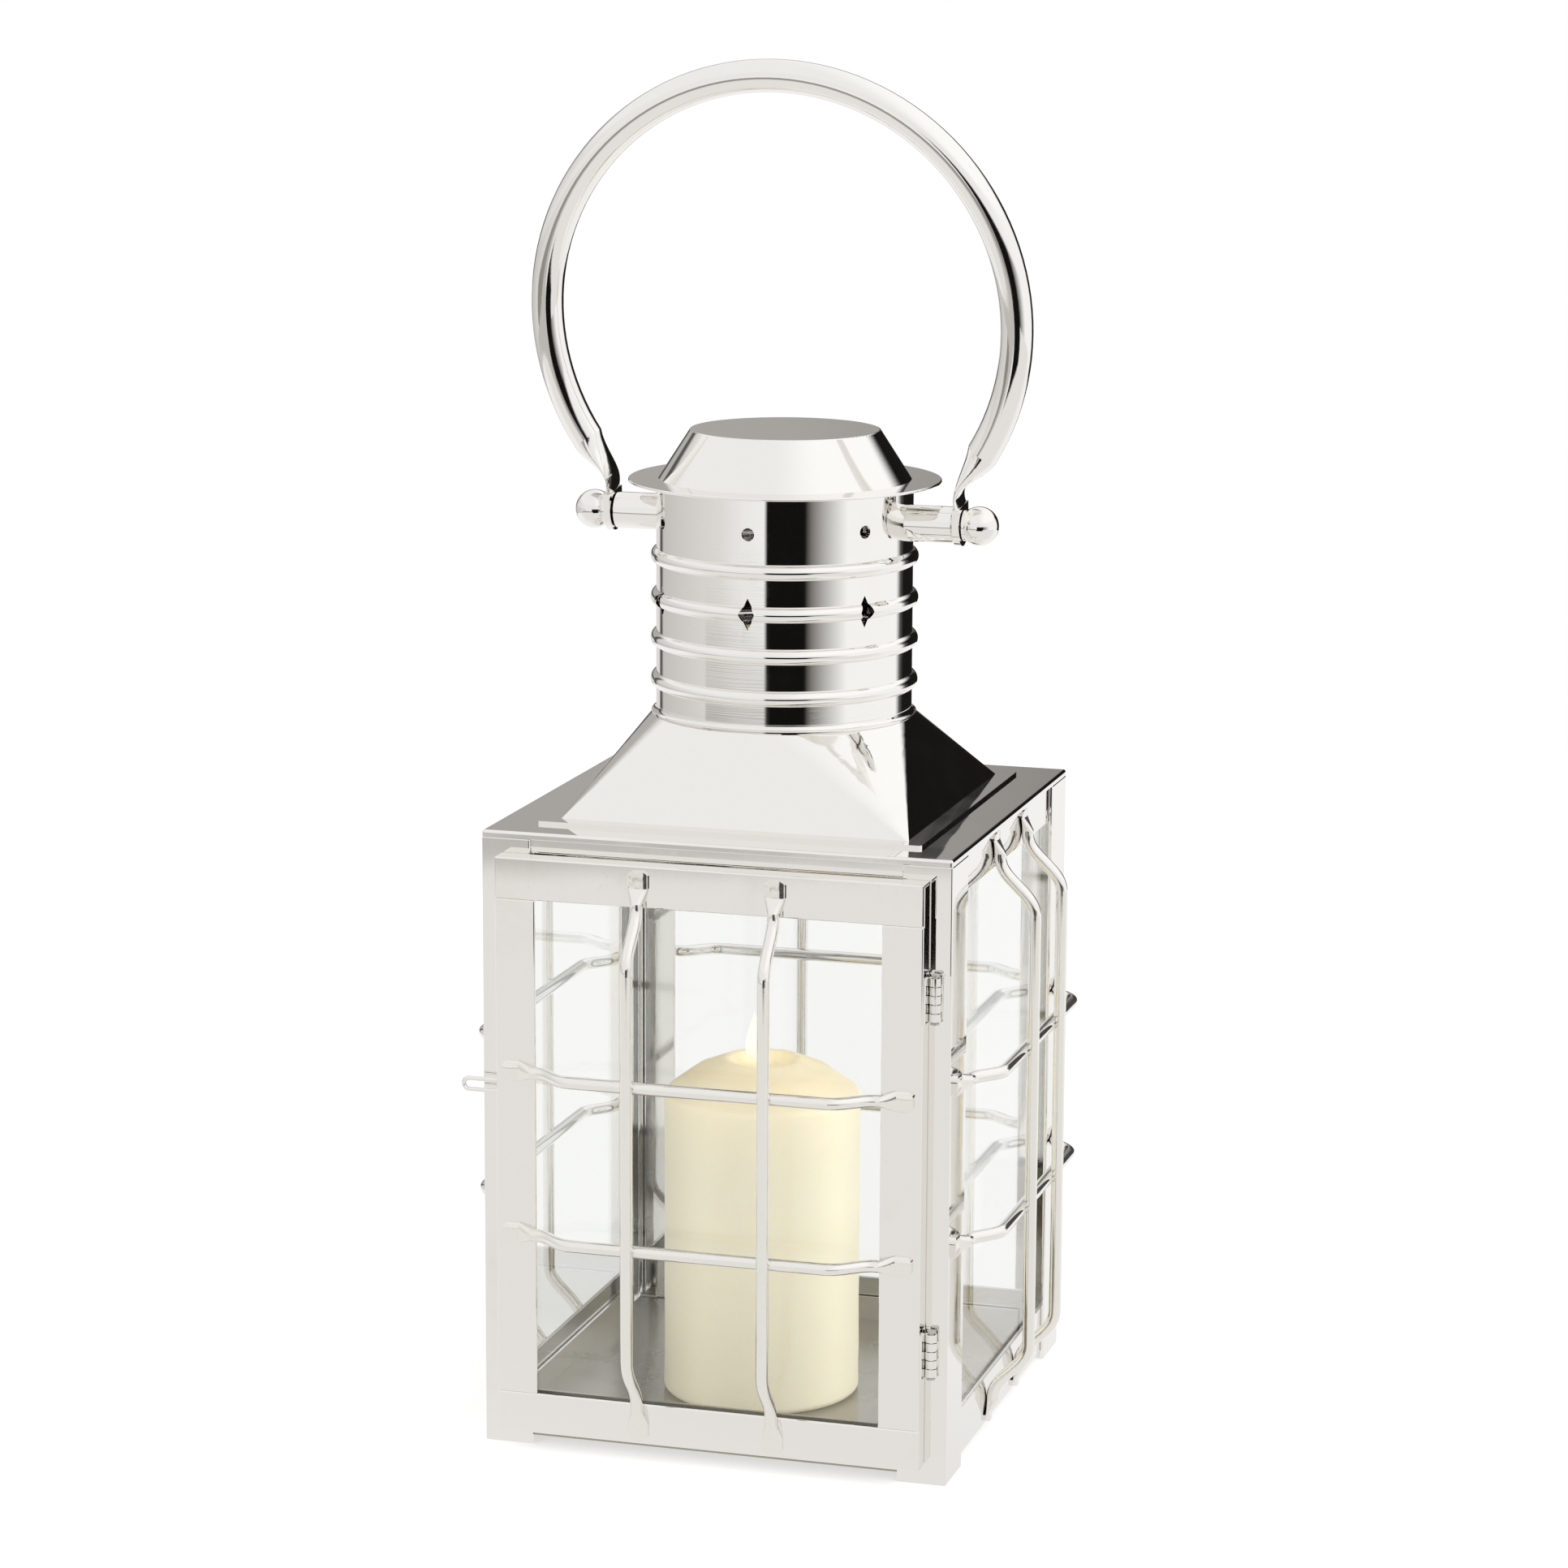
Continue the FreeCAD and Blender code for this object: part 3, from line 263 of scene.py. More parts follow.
def piece_coordinates(shader, stretch=(1.0, 1.0, 1.0)):
    """Coordinates that ride with a piece, shifted so that no two pieces wear the same pattern."""
    place = shader.node("TexCoord", {}, {}).out("Object")
    piece = shader.node("ObjectInfo", {}, {}).out("Random")
    shift = shader.node("CombineXYZ", {}, {0: piece * 7.0, 1: piece * 3.0, 2: piece * 5.0})
    moved = shader.node("VectorMath", {"operation": "ADD"}, {0: place, 1: shift})
    return shader.node("VectorMath", {"operation": "MULTIPLY"}, {0: moved, 1: stretch})


def cloud(shader, place, scale, detail=2.0, rough=0.5):
    """Soft noise."""
    values = {"Vector": place, "Scale": scale, "Detail": detail, "Roughness": rough}
    return shader.node("TexNoise", {}, values)


def plated(name, sizes, stretch, dents, lines, dull=0.0, stain_and_shade=None):
    """Polished plate: soft dents, fine polishing lines, smudges and a little tarnish.

    stretch draws out the polishing lines, dents and lines scale the two kinds of relief,
    and dull takes the polish and the colour down towards the stain colour where the plate isn't cared for;
    for the plate inside the box and for the guard bars this darkening is partly painted shade.
    """
    material, shader = blank_material(name)
    place = piece_coordinates(shader)
    along = piece_coordinates(shader, stretch)
    waves = cloud(shader, place, 1.0 / sizes.dent_size, 1.0)
    streaks = cloud(shader, along, 1.0, 3.0)
    handled = step(shader, cloud(shader, place, 38.0, 4.0, 0.6), 0.45, 0.75)
    specks = step(shader, cloud(shader, place, 420.0, 3.0, 0.65), 0.62, 0.80)
    dulled = step(shader, cloud(shader, place, 11.0, 5.0, 0.7), 0.55, 0.85)
    # Tarnish, specks and the dull share darken the colour; for the plate inside the box and the guard bars
    # the dull share is partly painted shade.
    worn = dulled * 0.22 + specks * 0.10 + dull
    tone = blend(shader, worn, opaque(sizes.nickel), opaque(stain_and_shade or sizes.tarnish))
    gloss = sizes.polish + dull * 0.25 + handled * sizes.smudge + streaks * 0.02 + specks * 0.06
    relief = waves * (sizes.dent_depth * dents) + streaks * (sizes.scratch_depth * lines)
    bump = shader.node("Bump", {}, {"Strength": 1.0, "Distance": 1.0, "Height": relief})
    surface = shader.node("BsdfPrincipled", {}, {"Base Color": tone, "Metallic": 1.0 - 0.4 * dull,
                                                 "Roughness": gloss, "Normal": bump})
    shader.node("OutputMaterial", {}, {"Surface": surface})
    return material


def bare_steel(name, sizes):
    """Turned steel with fine lines and grey staining."""
    material, shader = blank_material(name)
    place = piece_coordinates(shader)
    lines = cloud(shader, piece_coordinates(shader, (300.0, 300.0, 2600.0)), 1.0, 3.0)
    stain = step(shader, cloud(shader, place, 160.0, 4.0, 0.6), 0.45, 0.8)
    tone = blend(shader, stain * 0.5, opaque(sizes.steel), opaque(sizes.tarnish))
    bump = shader.node("Bump", {}, {"Strength": 1.0, "Distance": 1.0, "Height": lines * 0.00002})
    surface = shader.node("BsdfPrincipled", {}, {"Base Color": tone, "Metallic": 1.0, "Normal": bump,
                                                 "Roughness": 0.22 + stain * 0.2})
    shader.node("OutputMaterial", {}, {"Surface": surface})
    return material


def pane_glass(name, sizes):
    """Clear glass with a faint film that lets lamps through."""
    material, shader = blank_material(name)
    place = piece_coordinates(shader)
    film = step(shader, cloud(shader, place, 24.0, 4.0, 0.6), 0.5, 0.8)
    waves = cloud(shader, place, 14.0, 1.0)
    bump = shader.node("Bump", {}, {"Strength": 1.0, "Distance": 1.0, "Height": waves * 0.00003})
    values = {"Base Color": opaque(sizes.tint), "Roughness": film * sizes.film, "IOR": 1.45,
              "Transmission Weight": 1.0, "Normal": bump}
    solid = shader.node("BsdfPrincipled", {}, values)
    clear = shader.node("BsdfTransparent", {}, {"Color": opaque(sizes.tint)})
    lamp_ray = shader.node("LightPath", {}, {}).out("Is Shadow Ray")
    surface = shader.node("MixShader", {}, {0: lamp_ray, 1: solid, 2: clear})
    shader.node("OutputMaterial", {}, {"Surface": surface})
    return material


def height_share(shader, low, high):
    """How far up between two heights a point of the piece is, from 0 to 1."""
    place = shader.node("TexCoord", {}, {}).out("Object")
    height = shader.node("SeparateXYZ", {}, {0: place}).out("Z")
    return step(shader, height, low, high)


def candle_material(sizes):
    """Ivory wax, mottled, honey-coloured on its sloping top and lit from within near the flame."""
    material, shader = blank_material("ivory_wax")
    place = shader.node("TexCoord", {}, {}).out("Object")
    side_top = WAX_HIGH.z - sizes.dome_rise
    slope = height_share(shader, side_top - 0.004, side_top + 0.004)
    mottle = cloud(shader, place, 55.0, 5.0, 0.6)
    tone = blend(shader, slope * 0.8 + mottle * 0.2, opaque(sizes.ivory), opaque(sizes.honey))
    warmth = height_share(shader, WAX_HIGH.z - 0.060, WAX_HIGH.z)
    light = blend(shader, warmth * warmth, opaque(sizes.depth_light), opaque(sizes.glow))
    grain = cloud(shader, place, 900.0, 3.0) * 0.00003 + mottle * 0.0003
    bump = shader.node("Bump", {}, {"Strength": 1.0, "Distance": 1.0, "Height": grain})
    surface = shader.node("BsdfPrincipled", {}, {
        "Base Color": tone, "Roughness": 0.42 + mottle * 0.2, "Normal": bump, "IOR": 1.44,
        "Subsurface Weight": 0.35, "Subsurface Radius": (1.0, 0.6, 0.3), "Subsurface Scale": 0.006,
        "Emission Color": light, "Emission Strength": 1.0})
    shader.node("OutputMaterial", {}, {"Surface": surface})
    return material


def wick_material(sizes):
    """Braided cotton, burnt black at the top."""
    material, shader = blank_material("burnt_cotton")
    place = shader.node("TexCoord", {}, {}).out("Object")
    fibres = cloud(shader, place, 2600.0, 3.0)
    burnt = height_share(shader, WICK_HIGH.z - 0.0075, WICK_HIGH.z - 0.005)
    tone = blend(shader, burnt, opaque(sizes.cotton), opaque(sizes.char))
    bump = shader.node("Bump", {}, {"Strength": 1.0, "Distance": 1.0, "Height": fibres * 0.0001})
    surface = shader.node("BsdfPrincipled", {}, {"Base Color": tone, "Roughness": 0.75 + fibres * 0.2,
                                                 "Normal": bump})
    shader.node("OutputMaterial", {}, {"Surface": surface})
    return material


def flame_material(sizes, low, high):
    """Light of the flame, orange at the root and cream above."""
    material, shader = blank_material("flame_light")
    place = shader.node("TexCoord", {}, {}).out("Object")
    flicker = cloud(shader, place, 180.0, 2.0)
    rise = height_share(shader, low, low + (high - low) * 0.45)
    light = blend(shader, rise * 0.9 + flicker * 0.2, opaque(sizes.flame_root), opaque(sizes.flame_tip))
    surface = shader.node("BsdfPrincipled", {}, {
        "Base Color": (0.0, 0.0, 0.0, 1.0), "Roughness": 1.0, "Specular IOR Level": 0.0,
        "Emission Color": light, "Emission Strength": 1.1})
    shader.node("OutputMaterial", {}, {"Surface": surface})
    return material


def dress(names, material):
    """Puts a material on CAD nodes."""
    for name in names:
        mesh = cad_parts[name].data
        mesh.materials.clear()
        mesh.materials.append(material)


def soften_edges(piece, width):
    """Rounds the sharp edges of folded sheet a little, so that they catch the light."""
    weld = piece.modifiers.new("weld", "WELD")
    weld.merge_threshold = width / 40
    bevel = piece.modifiers.new("worn_edges", "BEVEL")
    bevel.width = width
    bevel.segments = 3
    bevel.limit_method = "ANGLE"


def new_piece(name, grid, material):
    """Piece from a grid of vertices that closes round each row, with its first and last rows capped."""
    built = bmesh.new()
    rows = [[built.verts.new(point) for point in row] for row in grid]
    around = len(rows[0])
    for below, above in zip(rows, rows[1:]):
        for index in range(around):
            after = (index + 1) % around
            built.faces.new((below[index], below[after], above[after], above[index]))
    built.faces.new(list(reversed(rows[0])))
    built.faces.new(rows[-1])
    mesh = bpy.data.meshes.new(name)
    built.to_mesh(mesh)
    built.free()
    mesh.shade_smooth()
    mesh.materials.append(material)
    piece = bpy.data.objects.new(name, mesh)
    bpy.context.scene.collection.objects.link(piece)
    return piece


def ring(centre, radius, count):
    """Level ring of points."""
    points = []
    for index in range(count):
        angle = 2 * math.pi * index / count
        points.append(centre + Vector((radius * math.cos(angle), radius * math.sin(angle), 0.0)))
    return points


def between(first, second, count):
    """Points on the line from one pair of numbers towards another, without the last."""
    steps = [index / count for index in range(count)]
    return [(first[0] + (second[0] - first[0]) * t, first[1] + (second[1] - first[1]) * t) for t in steps]


def arc_points(centre, radius, start, end, count):
    """Points on an arc given in degrees, without the last."""
    points = []
    for index in range(count):
        angle = math.radians(start + (end - start) * index / count)
        points.append((centre[0] + radius * math.cos(angle), centre[1] + radius * math.sin(angle)))
    return points


def candle_profile(sizes, radius, height):
    """Half outline of the candle as (radius, height), from the middle of its foot to that of its pool."""
    foot = 0.003
    shoulder = 0.0035
    shoulder_turn = 48.0
    swell_out, swell_up = 0.0006, 0.0016
    side_top = height - sizes.dome_rise
    pool_z = height - sizes.pool_depth
    outline = between((radius * 0.2, 0.0), (radius - foot, 0.0), 6)
    outline += arc_points((radius - foot, foot), foot, -90, 0, 6)
    outline += between((radius, foot), (radius, side_top - shoulder), 30)
    outline += arc_points((radius - shoulder, side_top - shoulder), shoulder, 0, shoulder_turn, 6)
    crest = (radius - shoulder * (1 - math.cos(math.radians(shoulder_turn))),
             side_top - shoulder * (1 - math.sin(math.radians(shoulder_turn))))
    middle = ((crest[0] + sizes.rim_radius) / 2 + swell_out, (crest[1] + height) / 2 + swell_up)
    rim = (sizes.rim_radius, height)
    outline += between(crest, middle, 8) + between(middle, rim, 8)
    lip = (sizes.rim_radius - 0.002, height - 0.0004)
    wall = (sizes.pool_radius + 0.0015, pool_z + 0.0012)
    floor = (sizes.pool_radius, pool_z + 0.0003)
    outline += between(rim, lip, 4) + between(lip, wall, 8) + between(wall, floor, 3)
    outline += between(floor, (0.0012, pool_z), 5)
    return outline


def wax_point(centre, radius, height, angle, sizes, top):
    """Point of the candle's surface, moved by the unevenness of the wax."""
    direction = Vector((math.cos(angle), math.sin(angle), 0.0))
    at = centre + direction * radius + Vector((0.0, 0.0, height))
    melt = max(0.0, min(1.0, (height - (top - sizes.dome_rise * 1.8)) / sizes.dome_rise))
    lump_scale, grain_scale, sag_scale = 60.0, 150.0, 1.6
    lump = noise.noise(at * lump_scale) + 0.5 * noise.noise(at * grain_scale)
    sag = noise.noise(direction * sag_scale + Vector((0.0, 0.0, 4.0)))
    down = sizes.wobble * melt * (abs(sag) + 0.5 * abs(lump))
    inward = sizes.wobble * 0.35 * (1.0 + lump * 0.5) * min(1.0, height / 0.004)
    return at - direction * min(inward, radius * 0.2) - Vector((0.0, 0.0, down))


class LANTERN_OT_sheet_metal(bpy.types.Operator):
    """Finish the folded sheet of the box, the door and the roof"""
    bl_idname = "lantern.sheet_metal"
    bl_label = "Sheet metal"

    def execute(self, context):
        metal = context.scene.lantern_metal
        folded = plated("nickel_posts", metal, stretch=(900.0, 900.0, 60.0), dents=0.6, lines=1.0)
        # The plate inside the box: dull stained nickel, darkened further as painted shade of the box's
        # inside.
        inside = plated("nickel_inside", metal, stretch=(300.0, 900.0, 300.0), dents=1.2, lines=1.5,
                        dull=0.8, stain_and_shade=metal.inside)
        strips = plated("nickel_strips", metal, stretch=(300.0, 900.0, 300.0), dents=0.5, lines=1.0,
                        dull=0.3)
        roof = plated("nickel_roof", metal, stretch=(500.0, 500.0, 500.0), dents=1.6, lines=0.6)
        dress(FOLDED_SHEET, folded)
        dress(HIDDEN_SHEET, inside)
        dress(STRIPS, strips)
        dress(ROOF, roof)
        for name in FOLDED_SHEET:
            soften_edges(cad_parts[name], metal.edge_round)
        return {"FINISHED"}


class LANTERN_OT_chimney(bpy.types.Operator):
    """Finish the spun neck, brim and crown"""
    bl_idname = "lantern.chimney"
    bl_label = "Chimney"

    def execute(self, context):
        metal = context.scene.lantern_metal
        dress(CHIMNEY, plated("nickel_spun", metal, stretch=(25.0, 25.0, 2400.0), dents=0.7, lines=1.5))
        return {"FINISHED"}


class LANTERN_OT_round_work(bpy.types.Operator):
    """Finish the guard bars, the bail, its pivots and the door pull"""
    bl_idname = "lantern.round_work"
    bl_label = "Bars and bail"

    def execute(self, context):
        metal = context.scene.lantern_metal
        # The small dull share greys the bars towards tarnish; it is partly painted shade that sets them off
        # from the door.
        bars = plated("nickel_bars", metal, stretch=(1100.0, 1100.0, 1100.0), dents=0.5, lines=0.8,
                      dull=0.12)
        handle = plated("nickel_handle", metal, stretch=(800.0, 800.0, 800.0), dents=0.5, lines=0.7)
        dress(BARS, bars)
        dress(HANDLES + PIVOTS, handle)
        return {"FINISHED"}


class LANTERN_OT_hardware(bpy.types.Operator):
    """Finish the hinges, pins, studs and catch"""
    bl_idname = "lantern.hardware"
    bl_label = "Hinges and catch"

    def execute(self, context):
        metal = context.scene.lantern_metal
        leaves = plated("nickel_hinges", metal, stretch=(1500.0, 1500.0, 300.0), dents=0.3, lines=1.5)
        dress(HINGE_LEAVES, leaves)
        dress(STEEL_PARTS, bare_steel("steel_pins", metal))
        return {"FINISHED"}


class LANTERN_OT_panes(bpy.types.Operator):
    """Finish the glass panes"""
    bl_idname = "lantern.panes"
    bl_label = "Panes"

    def execute(self, context):
        dress(PANES, pane_glass("pane_glass", context.scene.lantern_glass))
        return {"FINISHED"}


class LANTERN_OT_candle(bpy.types.Operator):
    """Make the burnt-down pillar candle"""
    bl_idname = "lantern.candle"
    bl_label = "Candle"

    def execute(self, context):
        sizes = context.scene.lantern_candle
        radius = (WAX_HIGH.x - WAX_LOW.x) / 2
        top = WAX_HIGH.z - WAX_LOW.z
        centre = Vector(((WAX_HIGH.x + WAX_LOW.x) / 2, (WAX_HIGH.y + WAX_LOW.y) / 2, WAX_LOW.z))
        count = 120
        grid = []
        for r, z in candle_profile(sizes, radius, top):
            angles = [2 * math.pi * index / count for index in range(count)]
            grid.append([wax_point(centre, r, z, angle, sizes, top) for angle in angles])
        candle = new_piece("pillar_candle", grid, candle_material(sizes))
        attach(candle, "candle")
        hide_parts("candle_wax")
        return {"FINISHED"}


def wick_path(share_up):
    """Middle of the wick, which bends to the left at its burnt end."""
    base = Vector(((WICK_LOW.x + WICK_HIGH.x) / 2, (WICK_LOW.y + WICK_HIGH.y) / 2, WICK_LOW.z))
    bend_start = 0.55
    lean_left, lean_forward = 0.011, 0.002
    rise = WICK_HIGH.z - WICK_LOW.z - 0.0004
    bend = max(0.0, share_up - bend_start) ** 2
    return base + Vector((-lean_left * bend, -lean_forward * bend, rise * share_up))


class LANTERN_OT_wick(bpy.types.Operator):
    """Make the braided wick"""
    bl_idname = "lantern.wick"
    bl_label = "Wick"

    def execute(self, context):
        sizes = context.scene.lantern_candle
        finish = wick_material(sizes)
        strands = 3
        twists = 3.5
        rows = 56
        burnt_from = 0.9
        burnt_loss = 0.45
        for strand in range(strands):
            grid = []
            for row in range(rows + 1):
                share_up = row / rows
                turn_by = 2 * math.pi * (twists * share_up + strand / strands)
                taper = 1.0 - burnt_loss * max(0.0, share_up - burnt_from) / (1.0 - burnt_from)
                off = Vector((math.cos(turn_by), math.sin(turn_by), 0.0)) * (sizes.strand * 0.75)
                grid.append(ring(wick_path(share_up) + off, sizes.strand * taper, 10))
            made = new_piece("wick_strand_%d" % (strand + 1), grid, finish)
            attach(made, "candle")
            if strand == 0:
                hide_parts("candle_wick")
        return {"FINISHED"}


class LANTERN_OT_flame(bpy.types.Operator):
    """Make the flame"""
    bl_idname = "lantern.flame"
    bl_label = "Flame"

    def execute(self, context):
        sizes = context.scene.lantern_candle
        wick_covered = 0.0055
        low = WICK_HIGH.z - wick_covered
        high = low + sizes.flame_height
        root = wick_path(1.0)
        least_radius = 0.00015
        lean_left, lean_forward = 0.0012, 0.0003
        rows = 40
        grid = []
        for row in range(rows + 1):
            t = row / rows
            swell = math.sin(math.pi * min(1.0, (t + 0.03)) ** 0.62) ** 0.9
            radius = max(least_radius, sizes.flame_radius * swell)
            lean = Vector((-lean_left * t * t, -lean_forward * t, 0.0))
            centre = Vector((root.x, root.y, low + (high - low) * t)) + lean
            grid.append(ring(centre, radius, 28))
        flame = new_piece("candle_flame", grid, flame_material(sizes, low, high))
        flame.visible_shadow = False
        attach(flame, "candle")
        return {"FINISHED"}


# Greys of the studio's walls by the angle round from the camera: below eye level, and above it.
LOW_SURROUND = ((-180, 0.75), (-152, 0.75), (-149, 0.10), (-144, 0.10), (-140, 0.58), (-60, 0.78),
                (-40, 0.90), (-18, 0.95), (-16, 0.006), (18, 0.006), (24, 0.20), (58, 1.0), (120, 1.0),
                (127, 0.10), (134, 0.01), (170, 0.01), (176, 0.4), (180, 0.75))
HIGH_SURROUND = ((-180, 0.40), (-152, 0.48), (-149, 0.10), (-144, 0.10), (-140, 0.70), (-60, 0.90),
                 (0, 0.90), (60, 1.0), (120, 1.0), (127, 0.10), (134, 0.008), (166, 0.01), (174, 0.20),
                 (180, 0.40))

# Limits of the dark cards: left, right, low and high in degrees.
BACK_GAP = (-30.0, 10.0, -4.0, 3.0)
SKIRTING = (-75.0, -14.0, -40.0, -10.5)

# Where the ceiling starts, in degrees up, and where the far floor and the gap in it start, in metres.
CEILING_EDGE = (17.0, 28.0)
FAR_FLOOR = (1.13, 1.22)
FRONT_GAP = (0.86, 0.94)

RIGHT_LAMP_PLACE = (1.7, -0.55, 0.9)
FRONT_LAMP_PLACE = (-0.9, -1.7, 1.0)
LAMP_TARGET = (0.0, 0.0, 0.12)
LAMP_SIZE = 1.3


def surround(shader, around, shades):
    """Grey of the studio's walls, a little warm in the shade, by the angle round from the camera."""
    stops = []
    for angle, shade in shades:
        warm = (shade, shade * (0.95 + 0.05 * shade), shade * (0.87 + 0.13 * shade))
        stops.append(((angle + 180.0) / 360.0, warm))
    return shader.node("ValToRGB", {"stops": stops}, {0: (around + 180.0) / 360.0})


def soft_card(shader, around, up, limits, soft):
    """Mask of a soft-edged card in the surroundings, by its limits round and up in degrees."""
    left, right, low, high = limits
    mask = step(shader, around, left - soft, left + soft) * step(shader, around, right + soft, right - soft)
    return mask * step(shader, up, low - soft, low + soft) * step(shader, up, high + soft, high - soft)


def camera_axes(shader, way, yaw):
    """How far a point or direction lies towards the camera's place, and to the right of it."""
    sine, cosine = math.sin(yaw), math.cos(yaw)
    toward = shader.node("VectorMath", {"operation": "DOT_PRODUCT"}, {0: way, 1: (sine, -cosine, 0.0)})
    aside = shader.node("VectorMath", {"operation": "DOT_PRODUCT"}, {0: way, 1: (cosine, sine, 0.0)})
    return toward.out("Value"), aside.out("Value")


def studio_surroundings(sizes):
    """White studio. Polished metal also sees its grey walls, dark gaps and pale ceiling."""
    world = bpy.data.worlds.new("studio")
    bpy.context.scene.world = world
    world.use_nodes = True
    world.node_tree.nodes.clear()
    shader = Wire(world.node_tree)
    way = shader.node("TexCoord", {}, {}).out("Generated")
    rise = shader.node("SeparateXYZ", {}, {0: way}).out("Z")
    toward, aside = camera_axes(shader, way, sizes.yaw)
    up = shader.math("ARCSINE", rise) * DEGREES
    front = shader.math("ARCTAN2", aside, toward) * DEGREES
    back = shader.math("ARCTAN2", aside, toward * -1.0) * DEGREES
    walls = blend(shader, step(shader, up, -1.0, 4.0), surround(shader, front, LOW_SURROUND),
                  surround(shader, front, HIGH_SURROUND))
    gap = soft_card(shader, back, up, BACK_GAP, 1.0) * 0.85
    walls = blend(shader, gap, walls, (0.0, 0.0, 0.0, 1.0))
    skirting = soft_card(shader, front, up, SKIRTING, 1.5) * 0.75
    walls = blend(shader, skirting, walls, (0.12, 0.11, 0.09, 1.0))
    ceiling = blend(shader, step(shader, aside, -0.2, 0.5), (0.93, 0.93, 0.93, 1.0), (1.08, 1.08, 1.08, 1.0))
    shine = blend(shader, step(shader, up, *CEILING_EDGE), walls, ceiling)
    path = shader.node("LightPath", {}, {})
    plain = shader.math("MAXIMUM", path.out("Is Camera Ray"), path.out("Is Transmission Ray"))
    even = sizes.fill + (1.0 - sizes.fill) * plain
    mirrored = path.out("Is Glossy Ray") * (1.0 - plain)
    light = blend(shader, mirrored, even, shine)
    backdrop = shader.node("Background", {}, {"Color": light, "Strength": 1.0})
    shader.node("OutputWorld", {}, {"Surface": backdrop})


def studio_floor(sizes):
    """Round pale floor that stays white and keeps the lantern's shadow. Polished metal sees its greys."""
    material, shader = blank_material("pale_floor")
    white = (1.0, 1.0, 1.0, 1.0)
    bounce = shader.node("BsdfDiffuse", {}, {"Color": (0.9, 0.9, 0.9, 1.0)})
    matt = shader.node("BsdfDiffuse", {}, {"Color": (0.5, 0.5, 0.5, 1.0)})
    pale = shader.node("Emission", {}, {"Color": white, "Strength": 0.56})
    both = shader.node("AddShader", {}, {0: matt, 1: pale})
    place = shader.node("TexCoord", {}, {}).out("Object")
    toward, aside = camera_axes(shader, place, sizes.yaw)
    around = shader.math("ARCTAN2", aside, toward) * DEGREES
    sweep = blend(shader, step(shader, toward, -0.2, 0.2), (0.96, 0.96, 0.95, 1.0), (0.84, 0.83, 0.81, 1.0))
    away = shader.node("VectorMath", {"operation": "LENGTH"}, {0: place}).out("Value")
    far = step(shader, away, *FAR_FLOOR) * step(shader, around, 0.0, -20.0) * 0.5
    sweep = blend(shader, far, sweep, (0.25, 0.24, 0.22, 1.0))
    ahead = step(shader, around, -17.0, -15.0) * step(shader, around, 26.0, 18.0)
    gap = ahead * step(shader, toward, *FRONT_GAP)
    sheen = blend(shader, gap, sweep, (0.006, 0.006, 0.006, 1.0))
    mirrored = shader.node("Emission", {}, {"Color": sheen, "Strength": 1.0})
    path = shader.node("LightPath", {}, {})
    seen = shader.math("MAXIMUM", path.out("Is Camera Ray"), path.out("Is Transmission Ray"))
    surface = shader.node("MixShader", {}, {0: seen, 1: bounce, 2: both})
    surface = shader.node("MixShader", {}, {0: path.out("Is Glossy Ray"), 1: surface, 2: mirrored})
    shader.node("OutputMaterial", {}, {"Surface": surface})
    disc = bmesh.new()
    bmesh.ops.create_circle(disc, cap_ends=True, radius=sizes.floor_radius, segments=128)
    mesh = bpy.data.meshes.new("studio_floor")
    disc.to_mesh(mesh)
    disc.free()
    mesh.materials.append(material)
    floor = bpy.data.objects.new("studio_floor", mesh)
    bpy.context.scene.collection.objects.link(floor)


def soft_lamp(name, place, target, size, power):
    """Large soft lamp that lights the lantern and isn't seen in the metal."""
    lamp = bpy.data.lights.new(name, "AREA")
    lamp.shape = "DISK"
    lamp.size = size
    lamp.energy = power
    stand = bpy.data.objects.new(name, lamp)
    stand.location = place
    stand.rotation_euler = (Vector(target) - Vector(place)).to_track_quat("-Z", "Y").to_euler()
    stand.visible_glossy = False
    stand.visible_transmission = False
    stand.visible_camera = False
    bpy.context.scene.collection.objects.link(stand)


def studio_camera(sizes):
    """Camera at the lantern's front, a little to the right and above."""
    forward = Vector((-math.sin(sizes.yaw) * math.cos(sizes.pitch),
                      math.cos(sizes.yaw) * math.cos(sizes.pitch), -math.sin(sizes.pitch)))
    level_right = Vector((math.cos(sizes.yaw), math.sin(sizes.yaw), 0.0))
    level_up = level_right.cross(forward)
    right = level_right * math.cos(sizes.roll) + level_up * math.sin(sizes.roll)
    up = level_up * math.cos(sizes.roll) - level_right * math.sin(sizes.roll)
    view = bpy.data.cameras.new("studio_camera")
    view.sensor_width = 36.0
    view.lens = sizes.lens
    view.clip_start = 0.05
    view.clip_end = 50.0
    camera = bpy.data.objects.new("studio_camera", view)
    turned = Matrix((right, up, -forward)).transposed()
    camera.matrix_world = Matrix.Translation(Vector(sizes.place)) @ turned.to_4x4()
    bpy.context.scene.collection.objects.link(camera)
    bpy.context.scene.camera = camera


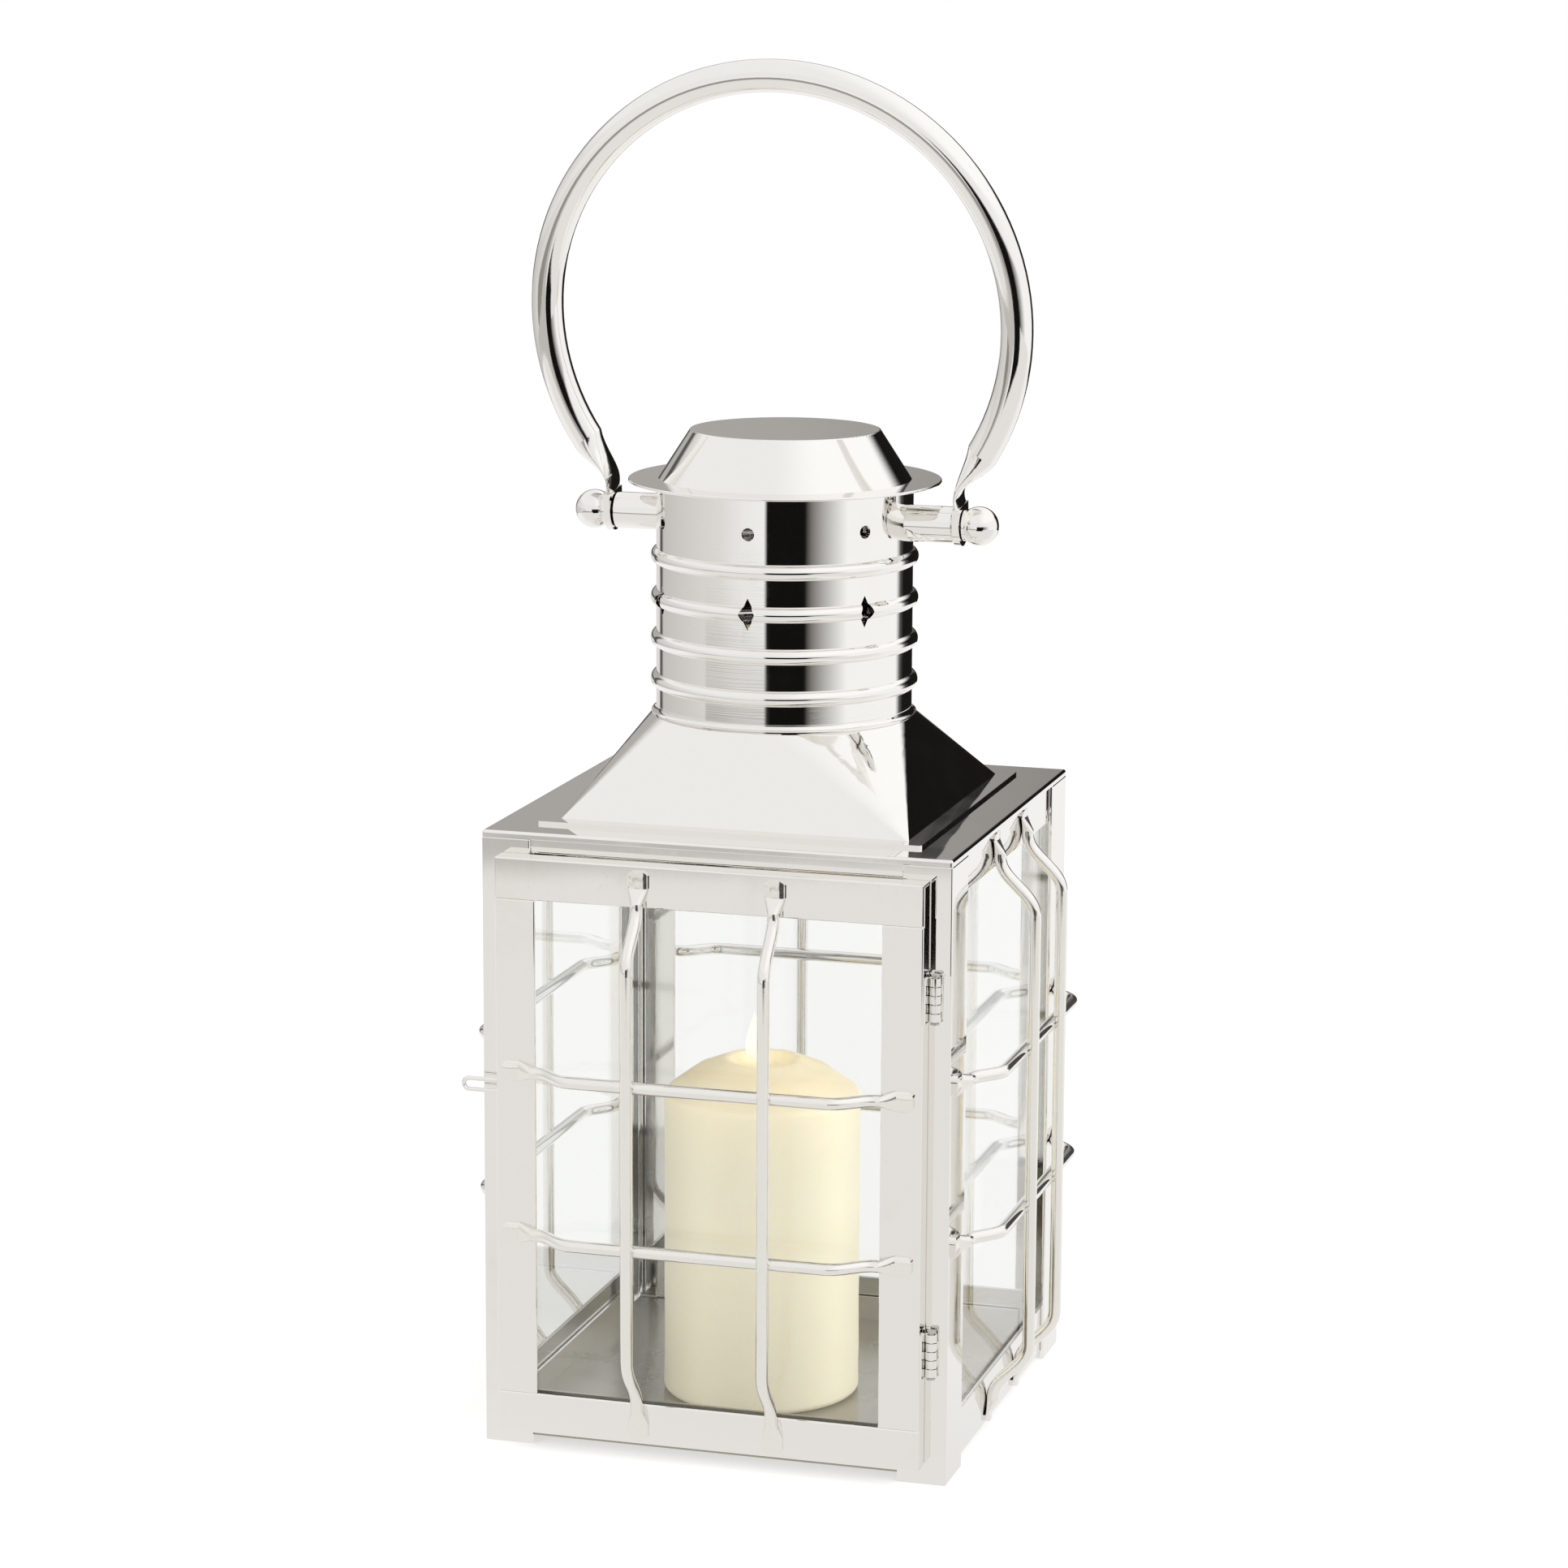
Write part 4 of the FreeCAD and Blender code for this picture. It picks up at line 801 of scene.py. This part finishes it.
class LANTERN_OT_studio(bpy.types.Operator):
    """Set up the floor, the light and the camera"""
    bl_idname = "lantern.studio"
    bl_label = "Studio"

    def execute(self, context):
        sizes = context.scene.lantern_studio
        context.scene.view_settings.view_transform = "Standard"
        studio_surroundings(sizes)
        studio_floor(sizes)
        soft_lamp("right_lamp", RIGHT_LAMP_PLACE, LAMP_TARGET, LAMP_SIZE, sizes.key)
        soft_lamp("front_lamp", FRONT_LAMP_PLACE, LAMP_TARGET, LAMP_SIZE, sizes.front)
        studio_camera(sizes)
        return {"FINISHED"}


GROUPS = {"lantern_metal": LanternMetal, "lantern_glass": LanternGlass, "lantern_candle": LanternCandle,
          "lantern_studio": LanternStudio}
OPERATORS = (LANTERN_OT_sheet_metal, LANTERN_OT_chimney, LANTERN_OT_round_work, LANTERN_OT_hardware,
             LANTERN_OT_panes, LANTERN_OT_candle, LANTERN_OT_wick, LANTERN_OT_flame, LANTERN_OT_studio)


class LANTERN_PT_steps(bpy.types.Panel):
    """Steps that dress the lantern, and their sizes and colours"""
    bl_idname = "LANTERN_PT_steps"
    bl_label = "Candle Lantern"
    bl_space_type = "VIEW_3D"
    bl_region_type = "UI"
    bl_category = "Lantern"

    def draw(self, context):
        for operator in OPERATORS:
            self.layout.operator(operator.bl_idname)
        for name, group in GROUPS.items():
            box = self.layout.box()
            for field in group.__annotations__:
                box.prop(getattr(context.scene, name), field)


CLASSES = (*GROUPS.values(), *OPERATORS, LANTERN_PT_steps)


def register():
    """Adds the classes and the scene's settings."""
    for made in CLASSES:
        bpy.utils.register_class(made)
    for name, group in GROUPS.items():
        setattr(bpy.types.Scene, name, bpy.props.PointerProperty(type=group))


def unregister():
    """Takes the settings and classes away."""
    for name in GROUPS:
        delattr(bpy.types.Scene, name)
    for made in reversed(CLASSES):
        bpy.utils.unregister_class(made)


def main():
    """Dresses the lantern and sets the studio."""
    register()
    bpy.ops.lantern.sheet_metal()
    bpy.ops.lantern.chimney()
    bpy.ops.lantern.round_work()
    bpy.ops.lantern.hardware()
    bpy.ops.lantern.panes()
    bpy.ops.lantern.candle()
    bpy.ops.lantern.wick()
    bpy.ops.lantern.flame()
    bpy.ops.lantern.studio()


if __name__ == "__main__":
    main()
